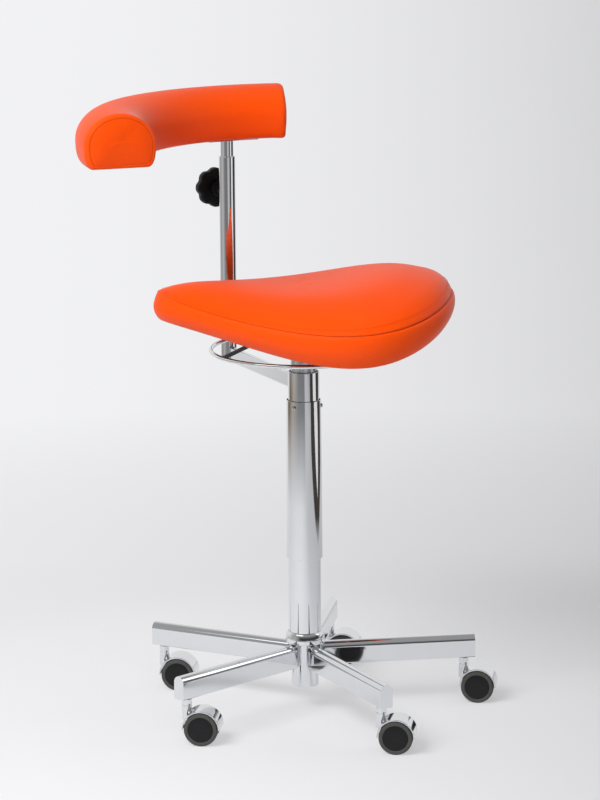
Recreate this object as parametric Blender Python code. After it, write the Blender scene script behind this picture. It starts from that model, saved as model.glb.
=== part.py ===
# Dentist stool: five-arm caster base, gas-lift column, saddle seat and a padded support on a swinging arm.
# Metres, +Z up. The origin is on the floor under the column, +X is towards the seat's rear.

import math

import bmesh
import bpy
from mathutils import Matrix, Vector

# Clearances
contact_gap = 0.0003  # between pieces that rest on, screw to or are welded to each other
running_gap = 0.0003  # on the radius, where one piece turns or slides in another
stop_gap = 0.004  # left under the moving column when the seat is at its lowest
merge_distance = 0.000002

# Casters
caster_count = 5
wheel_diameter = 0.050
wheel_width = 0.0150
wheel_edge_round = 0.0020
wheel_disc_radius = 0.0183
wheel_disc_recess = 0.0012
wheel_play = 0.0008  # between a wheel and the web beside it
axle_radius = 0.0040
axle_grip = 0.0115  # length of axle inside each wheel
web_thickness = 0.0080
web_foot_radius = 0.0110
hood_wall = 0.0022
hood_clearance = 0.0012
caster_trail = 0.0225  # swivel axis to wheel axle
caster_heading = math.radians(-8.0)
boss_radius = 0.0075
boss_groove = 0.0012
boss_groove_height = 0.0020
neck_rise = 0.0187  # underside of the arms above the tops of the wheels
neck_clearance = 0.0010
stem_radius = 0.0055
stem_depth = 0.0240

# Base
first_arm_angle = math.radians(8.8)
arm_reach = 0.2605
arm_width = 0.0200
arm_height = 0.0350
arm_wall = 0.0020
arm_edge_round = 0.0020
arm_end_round = 0.0030
arm_end_block = 0.0320  # solid stretch that takes the caster's stem
stem_inset = 0.0160  # stem axis in from the arm's end
hub_radius = 0.0200
hub_bore_radius = 0.0150
hub_drop = 0.0322  # hub's foot below the arms' underside
hub_web = 0.0160
collar_radius = 0.0300
collar_height = 0.0180
tube_seat_depth = 0.0125

# Column
stand_tube_radius = 0.0245
stand_tube_wall = 0.0020
stand_tube_length = 0.2280
guide_bush_length = 0.0760
spigot_radius = 0.0040
rod_radius = 0.0050
piston_radius = 0.0120
piston_height = 0.0140
washer_radius = 0.0120
washer_height = 0.0040
clip_radius = 0.0090
clip_height = 0.0020
spigot_tail = 0.0020
seat_drop = 0.110  # travel of the seat below the pose shown
seat_rise = 0.080  # and above it
gas_radius = 0.0140
gas_wall = 0.0015
gas_end = 0.0100
gas_head = 0.0320
gas_stand_proud = 0.0015
piston_reserve = 0.0150  # cylinder left under the piston at the highest seat
valve_radius = 0.0030
valve_depth = 0.0160
valve_proud = 0.0082
socket_wall = 0.0047
snap_ring_height = 0.0027
snap_ring_bite = 0.0015
socket_lip = 0.0020
arm_bush_wall = 0.0019
arm_bush_flange = 0.0020
bearing_tube_wall = 0.0020
bearing_tube_length = 0.0620
sleeve_overlap = 0.0190
sleeve_gap = 0.0005
sleeve_top_wall = 0.0009
sleeve_foot_wall = 0.0023
sleeve_screw_count = 3
sleeve_screw_angle = math.radians(116.0)
sleeve_screw_inset = 0.0090
sleeve_screw_radius = 0.0020
sleeve_screw_head_radius = 0.0032
sleeve_screw_head_height = 0.0022

# Seat tray and release lever
lever_angle = math.radians(31.0)
tray_rise = 0.0495  # tray's underside above the bearing tube
tray_sheet = 0.0030
tray_length = 0.0840
tray_half_width = 0.0400
tray_depth = 0.0200
tray_flange = 0.0350
seat_bolt_radius = 0.0030
seat_bolt_head_radius = 0.0055
seat_bolt_head_height = 0.0035
seat_bolt_grip = 0.0080
seat_bolt_inset = 0.0150
lever_strip_width = 0.0120
lever_strip_height = 0.0030
lever_strip_flat = 0.0420  # half-length of the level middle of the strip
lever_pin_gap = 0.0006
ring_radius = 0.1360
ring_wire_radius = 0.0028
ring_drop = 0.0300
pivot_offset = 0.0300
pivot_radius = 0.0025
barrel_wall = 0.0022
barrel_width = 0.0240

# Seat. Heights run from nose to rear at five even stations, above the board's underside.
seat_length = 0.4376
seat_centre = 0.0011
seat_mid_half_width = 0.1820
seat_taper = 0.0950  # how much wider the rear is than the nose
seam_heights = (0.0532, 0.0317, 0.0206, 0.0225, 0.0506)
rim_heights = (0.0131, -0.0042, -0.0236, -0.0247, 0.0168)  # foot of the side panel
ridge_heights = (0.0863, 0.0652, 0.0624, 0.0840, 0.1327)  # crown's middle line, before its fall to the seam
crown_power = 4.4
panel_bulge = 0.0055
panel_draw_in = 0.0060
board_thickness = 0.0100
board_inset = 0.0200

# Support arm, post and support
arm_bearing = math.radians(114.7)
post_reach = 0.2780
bar_height = 0.0230
bar_thickness = 0.0100
bar_edge_round = 0.0025
bar_rise = 0.0100  # bar's underside above the sleeve
post_radius = 0.0125
post_wall = 0.0020
post_length = 0.3212
post_foot = 0.0030
support_rod_radius = 0.0100
support_rod_length = 0.2750
rod_show = 0.0258
knob_drop = 0.0545  # knob axis below the post's top
knob_boss_radius = 0.0090
knob_boss_length = 0.0130
knob_radius = 0.0308
knob_lobe_depth = 0.0040
knob_lobes = 7
knob_thickness = 0.0180
knob_hub_radius = 0.0125
knob_hub_length = 0.0130
knob_stud_radius = 0.0040
knob_edge_round = 0.0040
plate_thickness = 0.0035
plate_width = 0.0500
plate_span = math.radians(19.0)
plate_spigot_radius = 0.0060
plate_spigot_length = 0.0120
plate_screw_radius = 0.0020
plate_screw_head_radius = 0.0040
plate_screw_head_height = 0.0020
plate_screw_grip = 0.0060
plate_screw_inset = 0.0100
pad_start = math.radians(95.8)
pad_end = math.radians(201.4)
pad_half_width = 0.0541
pad_foot_half_width = 0.0400
pad_shoulder = 0.0330
pad_height = 0.0794
pad_end_round = 0.0090
pad_board_half_width = 0.0300
pad_board_thickness = 0.0080
pad_board_inset = 0.0300

# Heights and radii that follow from the sizes above
wheel_radius = wheel_diameter / 2
arm_foot = wheel_diameter + neck_rise
arm_top = arm_foot + arm_height
hub_foot = arm_foot - hub_drop
collar_foot = arm_top + contact_gap
collar_top = collar_foot + collar_height
tube_seat = collar_top - tube_seat_depth
web_foot = tube_seat - hub_web
stand_tube_foot = tube_seat + contact_gap
stand_tube_top = stand_tube_foot + stand_tube_length
stand_tube_bore = stand_tube_radius - stand_tube_wall
washer_top = tube_seat + contact_gap + washer_height
gas_foot = washer_top + seat_drop + stop_gap
piston_foot = gas_foot + gas_end + seat_rise + piston_reserve
socket_radius = gas_radius + running_gap + socket_wall
socket_foot = stand_tube_top + seat_drop + stop_gap
snap_ring_foot = socket_foot + socket_lip
arm_bush_foot = snap_ring_foot + snap_ring_height + contact_gap
bearing_tube_foot = arm_bush_foot + arm_bush_flange + contact_gap
bearing_tube_top = bearing_tube_foot + bearing_tube_length
bearing_tube_bore = socket_radius + 2 * running_gap + arm_bush_wall
bearing_tube_radius = bearing_tube_bore + bearing_tube_wall
sleeve_foot = collar_top + seat_drop + stop_gap
sleeve_top = bearing_tube_foot + sleeve_overlap
sleeve_bore = max(stand_tube_radius, bearing_tube_radius) + sleeve_gap
tray_foot = bearing_tube_top + tray_rise
tray_floor = tray_foot + tray_sheet
tray_top = tray_foot + tray_depth
gas_top = tray_floor + gas_stand_proud
valve_top = gas_top + valve_proud
strip_foot = valve_top + lever_pin_gap
strip_middle = strip_foot + lever_strip_height / 2
ring_height = strip_middle - ring_drop
seat_underside = tray_top + contact_gap
bar_foot = sleeve_top + bar_rise
post_bore = post_radius - post_wall
post_top = bar_foot + post_length
knob_height = post_top - knob_drop
support_rod_top = post_top + rod_show
plate_foot = support_rod_top + contact_gap
plate_top = plate_foot + plate_thickness
pad_foot = plate_top + contact_gap


def finish(name, colour, roughness, metallic):
    material = bpy.data.materials.new(name)
    material.use_nodes = True
    shader = material.node_tree.nodes["Principled BSDF"]
    shader.inputs["Base Color"].default_value = (*colour, 1)
    shader.inputs["Roughness"].default_value = roughness
    shader.inputs["Metallic"].default_value = metallic
    material.diffuse_color = (*colour, 1)
    return material


def empty(name, location=(0, 0, 0), turn=0.0):
    marker = bpy.data.objects.new(name, None)
    marker.location = location
    marker.rotation_euler.z = turn
    bpy.context.scene.collection.objects.link(marker)
    return marker


def ride(parent, *pieces):
    for piece in pieces:
        piece.parent = parent
    return pieces[0]


def solid(name, bm, material):
    bmesh.ops.remove_doubles(bm, verts=bm.verts, dist=merge_distance)
    bmesh.ops.recalc_face_normals(bm, faces=bm.faces)
    if bm.calc_volume(signed=True) < 0:
        bmesh.ops.reverse_faces(bm, faces=bm.faces)
    mesh = bpy.data.meshes.new(name)
    bm.to_mesh(mesh)
    bm.free()
    mesh.materials.append(material)
    mesh.shade_smooth()
    mesh.set_sharp_from_angle(angle=math.radians(35))
    piece = bpy.data.objects.new(name, mesh)
    bpy.context.scene.collection.objects.link(piece)
    return piece


def copy_of(piece, name):
    twin = bpy.data.objects.new(name, piece.data)
    bpy.context.scene.collection.objects.link(twin)
    return twin


def turned(name, profile, material, steps=24):
    # A closed outline of (radius, height) points swept round Z. It stays open along the axis itself.
    bm = bmesh.new()
    points = [bm.verts.new((radius, 0, height)) for radius, height in profile]
    pairs = list(zip(points, points[1:]))
    if profile[0][0] > 0 or profile[-1][0] > 0:
        pairs.append((points[-1], points[0]))
    edges = [bm.edges.new(pair) for pair in pairs]
    bmesh.ops.spin(
        bm, geom=points + edges, axis=(0, 0, 1), cent=(0, 0, 0), angle=2 * math.pi, steps=steps, use_merge=True
    )
    return solid(name, bm, material)


def tube(name, inner, outer, foot, top, material, steps=24):
    return turned(name, [(outer, top), (outer, foot), (inner, foot), (inner, top)], material, steps)


def rod(name, radius, foot, top, material, steps=16):
    return turned(name, [(0, top), (radius, top), (radius, foot), (0, foot)], material, steps)


def lofted(name, rings, material, capped=True):
    # Bent faces are split along their shorter diagonal, so matching faces of two pieces split alike.
    bm = bmesh.new()
    loops = [[bm.verts.new(point) for point in ring] for ring in rings]
    for low, high in zip(loops, loops[1:]):
        for i in range(len(low)):
            j = (i + 1) % len(low)
            bm.faces.new((low[i], low[j], high[j], high[i]))
    if capped:
        bm.faces.new(loops[0])
        bm.faces.new(loops[-1])
    else:
        bmesh.ops.remove_doubles(bm, verts=bm.verts, dist=merge_distance)
        bmesh.ops.triangulate(bm, faces=bm.faces, quad_method="SHORT_EDGE")
    return solid(name, bm, material)


def extruded(name, outline, low, high, material):
    return lofted(name, [[(x, y, z) for x, y in outline] for z in (low, high)], material)


def turn_mesh(piece, matrix):
    piece.data.transform(matrix)
    return piece


def boolean(piece, operation, others):
    for other in others:
        other.hide_render = True
        step = piece.modifiers.new(operation.lower(), "BOOLEAN")
        step.operation = operation
        step.object = other
    graph = bpy.context.evaluated_depsgraph_get()
    mesh = bpy.data.meshes.new_from_object(piece.evaluated_get(graph))
    piece.modifiers.clear()
    piece.data = mesh
    for other in others:
        bpy.data.objects.remove(other)
    return piece


def joined(piece, *others):
    return boolean(piece, "UNION", others)


def cut(piece, *others):
    return boolean(piece, "DIFFERENCE", others)


def arc(centre, radius, start, end, steps):
    angles = [start + (end - start) * i / steps for i in range(steps + 1)]
    return [(centre[0] + radius * math.cos(a), centre[1] + radius * math.sin(a)) for a in angles]


def rounded_rectangle(half_x, half_y, radius, steps=2):
    corners = ((1, 1, 0), (-1, 1, 90), (-1, -1, 180), (1, -1, 270))
    points = []
    for sx, sy, degrees in corners:
        centre = (sx * (half_x - radius), sy * (half_y - radius))
        points += arc(centre, radius, math.radians(degrees), math.radians(degrees + 90), steps)
    return points


def along(axis):
    return Vector((0, 0, 1)).rotation_difference(Vector(axis)).to_matrix().to_4x4()


def polar(radius, angle, height=0.0):
    return (radius * math.cos(angle), radius * math.sin(angle), height)


for leftover in list(bpy.data.objects):
    bpy.data.objects.remove(leftover)

chrome = finish("chrome", (0.80, 0.81, 0.83), 0.08, 1.0)
steel = finish("bright_steel", (0.55, 0.56, 0.58), 0.30, 1.0)
zinc = finish("zinc_plate", (0.45, 0.46, 0.48), 0.40, 1.0)
leatherette = finish("orange_leatherette", (1.0, 0.085, 0.003), 0.42, 0.0)
plywood = finish("plywood", (0.55, 0.38, 0.22), 0.70, 0.0)
bush_plastic = finish("bush_plastic", (0.80, 0.80, 0.76), 0.50, 0.0)
knob_plastic = finish("knob_plastic", (0.02, 0.02, 0.02), 0.45, 0.0)
wheel_plastic = finish("wheel_plastic", (0.03, 0.03, 0.032), 0.50, 0.0)

column = empty("column_axis")

# Hub: a collar with a full-round edge, a web that holds the piston rod, and a hollow foot
collar_round = collar_height / 2
collar_edge = arc(
    (collar_radius - collar_round, collar_foot + collar_round), collar_round, math.radians(66), math.radians(-90), 7
)
hub_profile = [
    (stand_tube_radius + contact_gap, collar_top),
    *collar_edge,
    (hub_radius, collar_foot),
    (hub_radius, hub_foot),
    (hub_bore_radius, hub_foot),
    (hub_bore_radius, web_foot),
    (spigot_radius + running_gap, web_foot),
    (spigot_radius + running_gap, tube_seat),
    (stand_tube_radius + contact_gap, tube_seat),
]
hub = turned("hub", hub_profile, chrome, 30)
ride(column, hub)

# Arms: a tube with a full-round top, open at the hub and solid where it takes the caster's stem
half_arm = arm_width / 2
arm_section = [
    *arc((0, arm_top - half_arm), half_arm, 0, math.pi, 8),
    *arc((-half_arm + arm_edge_round, arm_foot + arm_edge_round), arm_edge_round, math.pi, 1.5 * math.pi, 1),
    *arc((half_arm - arm_edge_round, arm_foot + arm_edge_round), arm_edge_round, 1.5 * math.pi, 2 * math.pi, 1),
]
bore_section = [
    *arc((0, arm_top - half_arm), half_arm - arm_wall, 0, math.pi, 8),
    (-half_arm + arm_wall, arm_foot + arm_wall),
    (half_arm - arm_wall, arm_foot + arm_wall),
]


def arm_ring(section, reach, inset=0.0):
    middle = (arm_top + arm_foot) / 2
    keep_y = 1 - inset / half_arm
    keep_z = 1 - inset / (arm_height / 2)
    return [(reach, y * keep_y, middle + (z - middle) * keep_z) for y, z in section]


round_share = 1 - math.sqrt(0.5)
arm = lofted(
    "arm_1",
    [
        arm_ring(arm_section, 0),
        arm_ring(arm_section, arm_reach - arm_end_round),
        arm_ring(arm_section, arm_reach - arm_end_round * round_share, arm_end_round * round_share),
        arm_ring(arm_section, arm_reach, arm_end_round),
    ],
    chrome,
)
arm_bore = lofted("arm_bore", [arm_ring(bore_section, -hub_radius), arm_ring(bore_section, arm_reach - arm_end_block)], chrome)
stem_radius_from_column = arm_reach - stem_inset
stem_bore = rod(
    "stem_bore", stem_radius + running_gap, arm_foot - neck_rise, arm_foot + stem_depth + neck_clearance, chrome
)
turn_mesh(stem_bore, Matrix.Translation((stem_radius_from_column, 0, 0)))
hub_steps = 30
hub_room_radius = (hub_radius + contact_gap) / math.cos(math.pi / hub_steps)
hub_room = rod("hub_room", hub_room_radius, hub_foot, collar_top, chrome, hub_steps)
cut(arm, arm_bore, stem_bore, hub_room)
for k in range(caster_count):
    piece = arm if k == 0 else copy_of(arm, f"arm_{k + 1}")
    piece.rotation_euler.z = first_arm_angle + k * 2 * math.pi / caster_count
    ride(column, piece)

# Stand tube with its guide bush, and the thrust washer on the hub's web
ride(
    column,
    tube("stand_tube", stand_tube_bore, stand_tube_radius, stand_tube_foot, stand_tube_top, chrome, 30),
    tube(
        "guide_bush",
        gas_radius + running_gap,
        stand_tube_bore - contact_gap,
        stand_tube_top - guide_bush_length,
        stand_tube_top,
        bush_plastic,
    ),
    tube("thrust_washer", spigot_radius + running_gap, washer_radius, tube_seat + contact_gap, washer_top, steel),
)

# Piston rod: its spigot turns in the hub, and the clip holds it there
spigot_foot = web_foot - contact_gap - clip_height - spigot_tail
piston_rod = turned(
    "piston_rod",
    [
        (0, piston_foot + piston_height),
        (piston_radius, piston_foot + piston_height),
        (piston_radius, piston_foot),
        (rod_radius, piston_foot),
        (rod_radius, washer_top + contact_gap),
        (spigot_radius, washer_top + contact_gap),
        (spigot_radius, spigot_foot),
        (0, spigot_foot),
    ],
    steel,
    16,
)
clip_top = web_foot - contact_gap
rod_clip = tube("rod_clip", spigot_radius + contact_gap, clip_radius, clip_top - clip_height, clip_top, zinc, 16)
ride(column, piston_rod, rod_clip)

# Gas cylinder with the valve pin in its head
gas_bore = gas_radius - gas_wall
gas_cylinder = turned(
    "gas_cylinder",
    [
        (0, gas_top - valve_depth),
        (valve_radius + running_gap, gas_top - valve_depth),
        (valve_radius + running_gap, gas_top),
        (gas_radius, gas_top),
        (gas_radius, gas_foot),
        (rod_radius + running_gap, gas_foot),
        (rod_radius + running_gap, gas_foot + gas_end),
        (gas_bore, gas_foot + gas_end),
        (gas_bore, gas_top - gas_head),
        (0, gas_top - gas_head),
    ],
    steel,
)
valve_pin = rod("valve_pin", valve_radius, gas_top - valve_depth + seat_bolt_head_height, valve_top, steel, 12)
ride(column, gas_cylinder, valve_pin)

# Seat socket, with a groove for the snap ring that carries the support arm
groove_radius = socket_radius - snap_ring_bite
seat_socket = turned(
    "seat_socket",
    [
        (socket_radius, tray_floor),
        (socket_radius, snap_ring_foot + snap_ring_height + contact_gap),
        (groove_radius, snap_ring_foot + snap_ring_height + contact_gap),
        (groove_radius, snap_ring_foot - contact_gap),
        (socket_radius, snap_ring_foot - contact_gap),
        (socket_radius, socket_foot),
        (gas_radius + running_gap, socket_foot),
        (gas_radius + running_gap, tray_floor),
    ],
    steel,
)
snap_ring = tube(
    "snap_ring",
    groove_radius + contact_gap,
    bearing_tube_radius - contact_gap,
    snap_ring_foot,
    snap_ring_foot + snap_ring_height,
    zinc,
)
ride(column, seat_socket, snap_ring)

# Support arm's bearing: flanged bush, bearing tube, and the tapered sleeve hung on it by three screws
bush_outside = bearing_tube_bore - running_gap
arm_bush = turned(
    "arm_bush",
    [
        (bush_outside, bearing_tube_top),
        (bush_outside, arm_bush_foot + arm_bush_flange),
        (bearing_tube_radius - contact_gap, arm_bush_foot + arm_bush_flange),
        (bearing_tube_radius - contact_gap, arm_bush_foot),
        (socket_radius + running_gap, arm_bush_foot),
        (socket_radius + running_gap, bearing_tube_top),
    ],
    bush_plastic,
)
bearing_tube = tube(
    "bearing_tube", bearing_tube_bore, bearing_tube_radius, bearing_tube_foot, bearing_tube_top, chrome, 30
)
sleeve = turned(
    "sleeve",
    [
        (sleeve_bore + sleeve_top_wall, sleeve_top),
        (sleeve_bore + sleeve_foot_wall, sleeve_foot),
        (sleeve_bore, sleeve_foot),
        (sleeve_bore, sleeve_top),
    ],
    chrome,
    30,
)
screw_height = sleeve_top - sleeve_screw_inset
screw_taper = (sleeve_foot_wall - sleeve_top_wall) / (sleeve_top - sleeve_foot)
screw_seat = sleeve_bore + sleeve_top_wall + screw_taper * (sleeve_screw_inset + sleeve_screw_head_radius) + contact_gap
screw_turns = [
    Matrix.Rotation(sleeve_screw_angle + k * 2 * math.pi / sleeve_screw_count, 4, "Z")
    @ Matrix.Translation((0, 0, screw_height))
    @ along((1, 0, 0))
    for k in range(sleeve_screw_count)
]
screw_holes = [
    turn_mesh(
        rod(f"screw_hole_{k}", sleeve_screw_radius + contact_gap, bearing_tube_radius, 2 * sleeve_bore, chrome, 10), turn
    )
    for k, turn in enumerate(screw_turns)
]
cut(sleeve, *screw_holes)
ride(column, arm_bush, bearing_tube, sleeve)
for k, turn in enumerate(screw_turns):
    screw = turned(
        f"sleeve_screw_{k + 1}",
        [
            (0, screw_seat + sleeve_screw_head_height),
            (sleeve_screw_head_radius * 0.7, screw_seat + sleeve_screw_head_height),
            (sleeve_screw_head_radius, screw_seat + sleeve_screw_head_height / 2),
            (sleeve_screw_head_radius, screw_seat),
            (sleeve_screw_radius, screw_seat),
            (sleeve_screw_radius, bearing_tube_radius + contact_gap),
            (0, bearing_tube_radius + contact_gap),
        ],
        zinc,
        10,
    )
    ride(column, turn_mesh(screw, turn))

# Seat tray: a hat-section channel along the lever, with the socket through its floor
lever_line = empty("lever_line", turn=lever_angle)
half_tray = tray_half_width
tray_section = [
    (half_tray + tray_flange, tray_top),
    (half_tray - tray_sheet, tray_top),
    (half_tray - tray_sheet, tray_floor),
    (-half_tray + tray_sheet, tray_floor),
    (-half_tray + tray_sheet, tray_top),
    (-half_tray - tray_flange, tray_top),
    (-half_tray - tray_flange, tray_top - tray_sheet),
    (-half_tray, tray_top - tray_sheet),
    (-half_tray, tray_foot),
    (half_tray, tray_foot),
    (half_tray, tray_top - tray_sheet),
    (half_tray + tray_flange, tray_top - tray_sheet),
]
seat_tray = lofted(
    "seat_tray", [[(x, y, z) for y, z in tray_section] for x in (-tray_length / 2, tray_length / 2)], zinc
)
bolt_places = [
    (sx * (tray_length / 2 - seat_bolt_inset), sy * (half_tray + tray_flange - seat_bolt_inset))
    for sx in (-1, 1)
    for sy in (-1, 1)
]
bolt_top = tray_top + contact_gap + seat_bolt_grip


def bolt_holes(turn):
    return [
        turn_mesh(
            rod(f"bolt_hole_{k}", seat_bolt_radius + contact_gap, tray_foot, bolt_top + 2 * contact_gap, zinc, 10),
            turn @ Matrix.Translation((x, y, 0)),
        )
        for k, (x, y) in enumerate(bolt_places)
    ]


pivot_lay = Matrix.Translation((-pivot_offset, 0, strip_middle)) @ along((0, 1, 0))
pivot_hole = rod("pivot_hole", pivot_radius + running_gap, -2 * half_tray, 2 * half_tray, zinc, 12)
socket_hole = rod("socket_hole", socket_radius + contact_gap, tray_foot - tray_depth, tray_floor + tray_sheet, zinc, 24)
cut(seat_tray, turn_mesh(pivot_hole, pivot_lay), socket_hole, *bolt_holes(Matrix()))
lever_pivot = turn_mesh(rod("lever_pivot", pivot_radius, -half_tray, half_tray, steel, 12), pivot_lay)
ride(lever_line, seat_tray, lever_pivot)
for k, (x, y) in enumerate(bolt_places):
    head_top = tray_top - tray_sheet - contact_gap
    bolt = turned(
        f"seat_bolt_{k + 1}",
        [
            (0, bolt_top),
            (seat_bolt_radius, bolt_top),
            (seat_bolt_radius, head_top),
            (seat_bolt_head_radius, head_top),
            (seat_bolt_head_radius, head_top - seat_bolt_head_height),
            (0, head_top - seat_bolt_head_height),
        ],
        zinc,
        12,
    )
    ride(lever_line, turn_mesh(bolt, Matrix.Translation((x, y, 0))))

# Release lever: a wire ring, a strip across it that dips from the tray to the ring, and its pivot barrel
half_strip = lever_strip_height / 2
strip_line = [
    (-ring_radius, ring_height),
    (-lever_strip_flat, strip_middle),
    (lever_strip_flat, strip_middle),
    (ring_radius, ring_height),
]
strip_section = [(x, z + half_strip) for x, z in strip_line] + [(x, z - half_strip) for x, z in reversed(strip_line)]
ring_lever = lofted(
    "ring_lever",
    [[(x, y, z) for x, z in strip_section] for y in (-lever_strip_width / 2, lever_strip_width / 2)],
    chrome,
)
wire_outline = [(x, z + ring_height) for x, z in arc((ring_radius, 0), ring_wire_radius, 0, -1.75 * math.pi, 7)]
ring_wire = turned("ring_wire", wire_outline, chrome, 44)
barrel_radius = pivot_radius + running_gap + barrel_wall
barrel = turn_mesh(rod("barrel", barrel_radius, -barrel_width / 2, barrel_width / 2, chrome, 12), pivot_lay)
barrel_bore = rod("barrel_bore", pivot_radius + running_gap, -barrel_width, barrel_width, chrome, 12)
joined(ring_lever, ring_wire, barrel)
cut(ring_lever, turn_mesh(barrel_bore, pivot_lay))
ride(lever_line, ring_lever)

# Seat: an egg-shaped outline, a seam that dips at mid-length and a side panel drawn in at its foot
seat_steps = 44
flat_radius = math.hypot(tray_length / 2, half_tray + tray_flange)


def seat_rim(u, offset=0.0):
    half_length = seat_length / 2
    point = Vector((seat_centre + half_length * math.cos(u), math.sin(u) * (seat_mid_half_width + seat_taper * math.cos(u))))
    slope = Vector((-half_length * math.sin(u), seat_mid_half_width * math.cos(u) + seat_taper * math.cos(2 * u)))
    outward = Vector((slope.y, -slope.x)).normalized()
    return point + outward * offset


def through_stations(heights, share):
    # The smooth curve through five heights at shares -1, -0.5, 0, 0.5 and 1 of the half-length
    stations = (-1.0, -0.5, 0.0, 0.5, 1.0)
    total = 0.0
    for i, height in enumerate(heights):
        weight = 1.0
        for j, station in enumerate(stations):
            if j != i:
                weight *= (share - station) / (stations[i] - station)
        total += height * weight
    return seat_underside + total


def seam_height(u):
    return through_stations(seam_heights, math.cos(u))


def rim_height(u):
    return through_stations(rim_heights, math.cos(u))


def ridge(x):
    return through_stations(ridge_heights, (x - seat_centre) / (seat_length / 2))


def crown_point(u, share):
    rim = seat_rim(u)
    x, y = rim * share
    return (x, y, ridge(x) + (seam_height(u) - ridge(rim.x)) * share**crown_power)


def panel_point(u, offset, share):
    x, y = seat_rim(u, offset)
    return (x, y, seam_height(u) + (rim_height(u) - seam_height(u)) * share)


def under_point(u, inset, share, lift):
    # Level over the tray, then falling smoothly to the side panel's foot
    rim = seat_rim(u, -panel_draw_in)
    edge = rim * (1 - inset / rim.length)
    flat = edge * (flat_radius / edge.length)
    x, y = flat + (edge - flat) * share if share >= 0 else flat * (1 + share)
    fall = max(0.0, math.hypot(x, y) - flat_radius) / (rim.length - flat_radius)
    return (x, y, seat_underside + (rim_height(u) - seat_underside) * fall**2 + lift)


def seat_ring(point, *values):
    return [point(2 * math.pi * i / seat_steps, *values) for i in range(seat_steps)]


crown_shares = (0.0, 0.25, 0.45, 0.62, 0.76, 0.87, 0.95, 1.0)
recess_lift = board_thickness + contact_gap
recess_inset = board_inset - contact_gap
seat_cushion = lofted(
    "seat_cushion",
    [
        *[seat_ring(crown_point, share) for share in crown_shares],
        seat_ring(panel_point, panel_bulge * 0.8, 0.22),
        seat_ring(panel_point, panel_bulge, 0.45),
        seat_ring(panel_point, panel_bulge * 0.4, 0.78),
        seat_ring(under_point, 0.0, 1.0, 0.0),
        seat_ring(under_point, recess_inset, 1.0, 0.0),
        seat_ring(under_point, recess_inset, 1.0, recess_lift),
        seat_ring(under_point, board_inset, 0.5, recess_lift),
        seat_ring(under_point, board_inset, 0.0, recess_lift),
        seat_ring(under_point, board_inset, -1.0, recess_lift),
    ],
    leatherette,
    capped=False,
)
seat_board = lofted(
    "seat_board",
    [
        seat_ring(under_point, board_inset, -1.0, board_thickness),
        seat_ring(under_point, board_inset, 0.0, board_thickness),
        seat_ring(under_point, board_inset, 0.5, board_thickness),
        seat_ring(under_point, board_inset, 1.0, board_thickness),
        seat_ring(under_point, board_inset, 1.0, 0.0),
        seat_ring(under_point, board_inset, 0.5, 0.0),
        seat_ring(under_point, board_inset, 0.0, 0.0),
        seat_ring(under_point, board_inset, -1.0, 0.0),
    ],
    plywood,
    capped=False,
)
cut(seat_board, *bolt_holes(Matrix.Rotation(lever_angle, 4, "Z")))
ride(column, seat_cushion, seat_board)

# Support arm's bar and post: the post is closed at its foot and carries the knob's boss
arm_line = empty("arm_line", turn=arm_bearing)
bar_section = rounded_rectangle(bar_thickness / 2, bar_height / 2, bar_edge_round)
support_bar = lofted(
    "support_bar",
    [
        [(x, y, bar_foot + bar_height / 2 + z) for y, z in bar_section]
        for x in (bearing_tube_radius + contact_gap, post_reach - post_radius - contact_gap)
    ],
    chrome,
)
ride(arm_line, support_bar)
post_line = empty("post_line", polar(post_reach, arm_bearing), arm_bearing)
knob_lay = Matrix.Translation((0, 0, knob_height)) @ along((1, 0, 0))
boss_end = post_radius + knob_boss_length
post_tube = turned(
    "post_tube",
    [
        (post_radius, post_top),
        (post_radius, bar_foot),
        (0, bar_foot),
        (0, bar_foot + post_foot),
        (post_bore, bar_foot + post_foot),
        (post_bore, post_top),
    ],
    chrome,
)
joined(post_tube, turn_mesh(rod("knob_boss", knob_boss_radius, post_radius - post_wall / 2, boss_end, chrome), knob_lay))
stud_hole = rod("stud_hole", knob_stud_radius + running_gap, 0, boss_end + knob_boss_length, chrome, 12)
cut(post_tube, turn_mesh(stud_hole, knob_lay))
ride(post_line, post_tube)

# Clamp knob: a lobed grip, its hub towards the post and the stud that bears on the rod
knob_line = empty("knob_line", polar(post_reach, arm_bearing, knob_height), arm_bearing)
grip_foot = boss_end + contact_gap + knob_hub_length
lobe_steps = 6


def lobe_ring(height, inset):
    count = knob_lobes * lobe_steps
    ring = []
    for i in range(count):
        angle = 2 * math.pi * i / count
        reach = knob_radius - knob_lobe_depth * (0.5 - 0.5 * math.cos(knob_lobes * angle)) ** 2 - inset
        ring.append(polar(reach, angle, height))
    return ring


knob = lofted(
    "knob",
    [
        lobe_ring(grip_foot, knob_edge_round),
        lobe_ring(grip_foot + knob_edge_round, 0),
        lobe_ring(grip_foot + knob_thickness - knob_edge_round, 0),
        lobe_ring(grip_foot + knob_thickness, knob_edge_round),
    ],
    knob_plastic,
)
stud_tip = support_rod_radius + contact_gap
knob_shank = turned(
    "knob_shank",
    [
        (0, grip_foot + knob_edge_round),
        (knob_hub_radius, grip_foot + knob_edge_round),
        (knob_hub_radius, grip_foot - knob_hub_length),
        (knob_stud_radius, grip_foot - knob_hub_length),
        (knob_stud_radius, stud_tip),
        (0, stud_tip),
    ],
    knob_plastic,
    16,
)
joined(knob, knob_shank)
ride(knob_line, turn_mesh(knob, along((1, 0, 0))))

# Support rod, and the plate whose spigot turns in its top
spigot_bore = plate_spigot_radius + running_gap
support_rod = turned(
    "support_rod",
    [
        (support_rod_radius, support_rod_top),
        (support_rod_radius, support_rod_top - support_rod_length),
        (0, support_rod_top - support_rod_length),
        (0, support_rod_top - plate_spigot_length - stop_gap),
        (spigot_bore, support_rod_top - plate_spigot_length - stop_gap),
        (spigot_bore, support_rod_top),
    ],
    chrome,
)
ride(post_line, support_rod)


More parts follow.
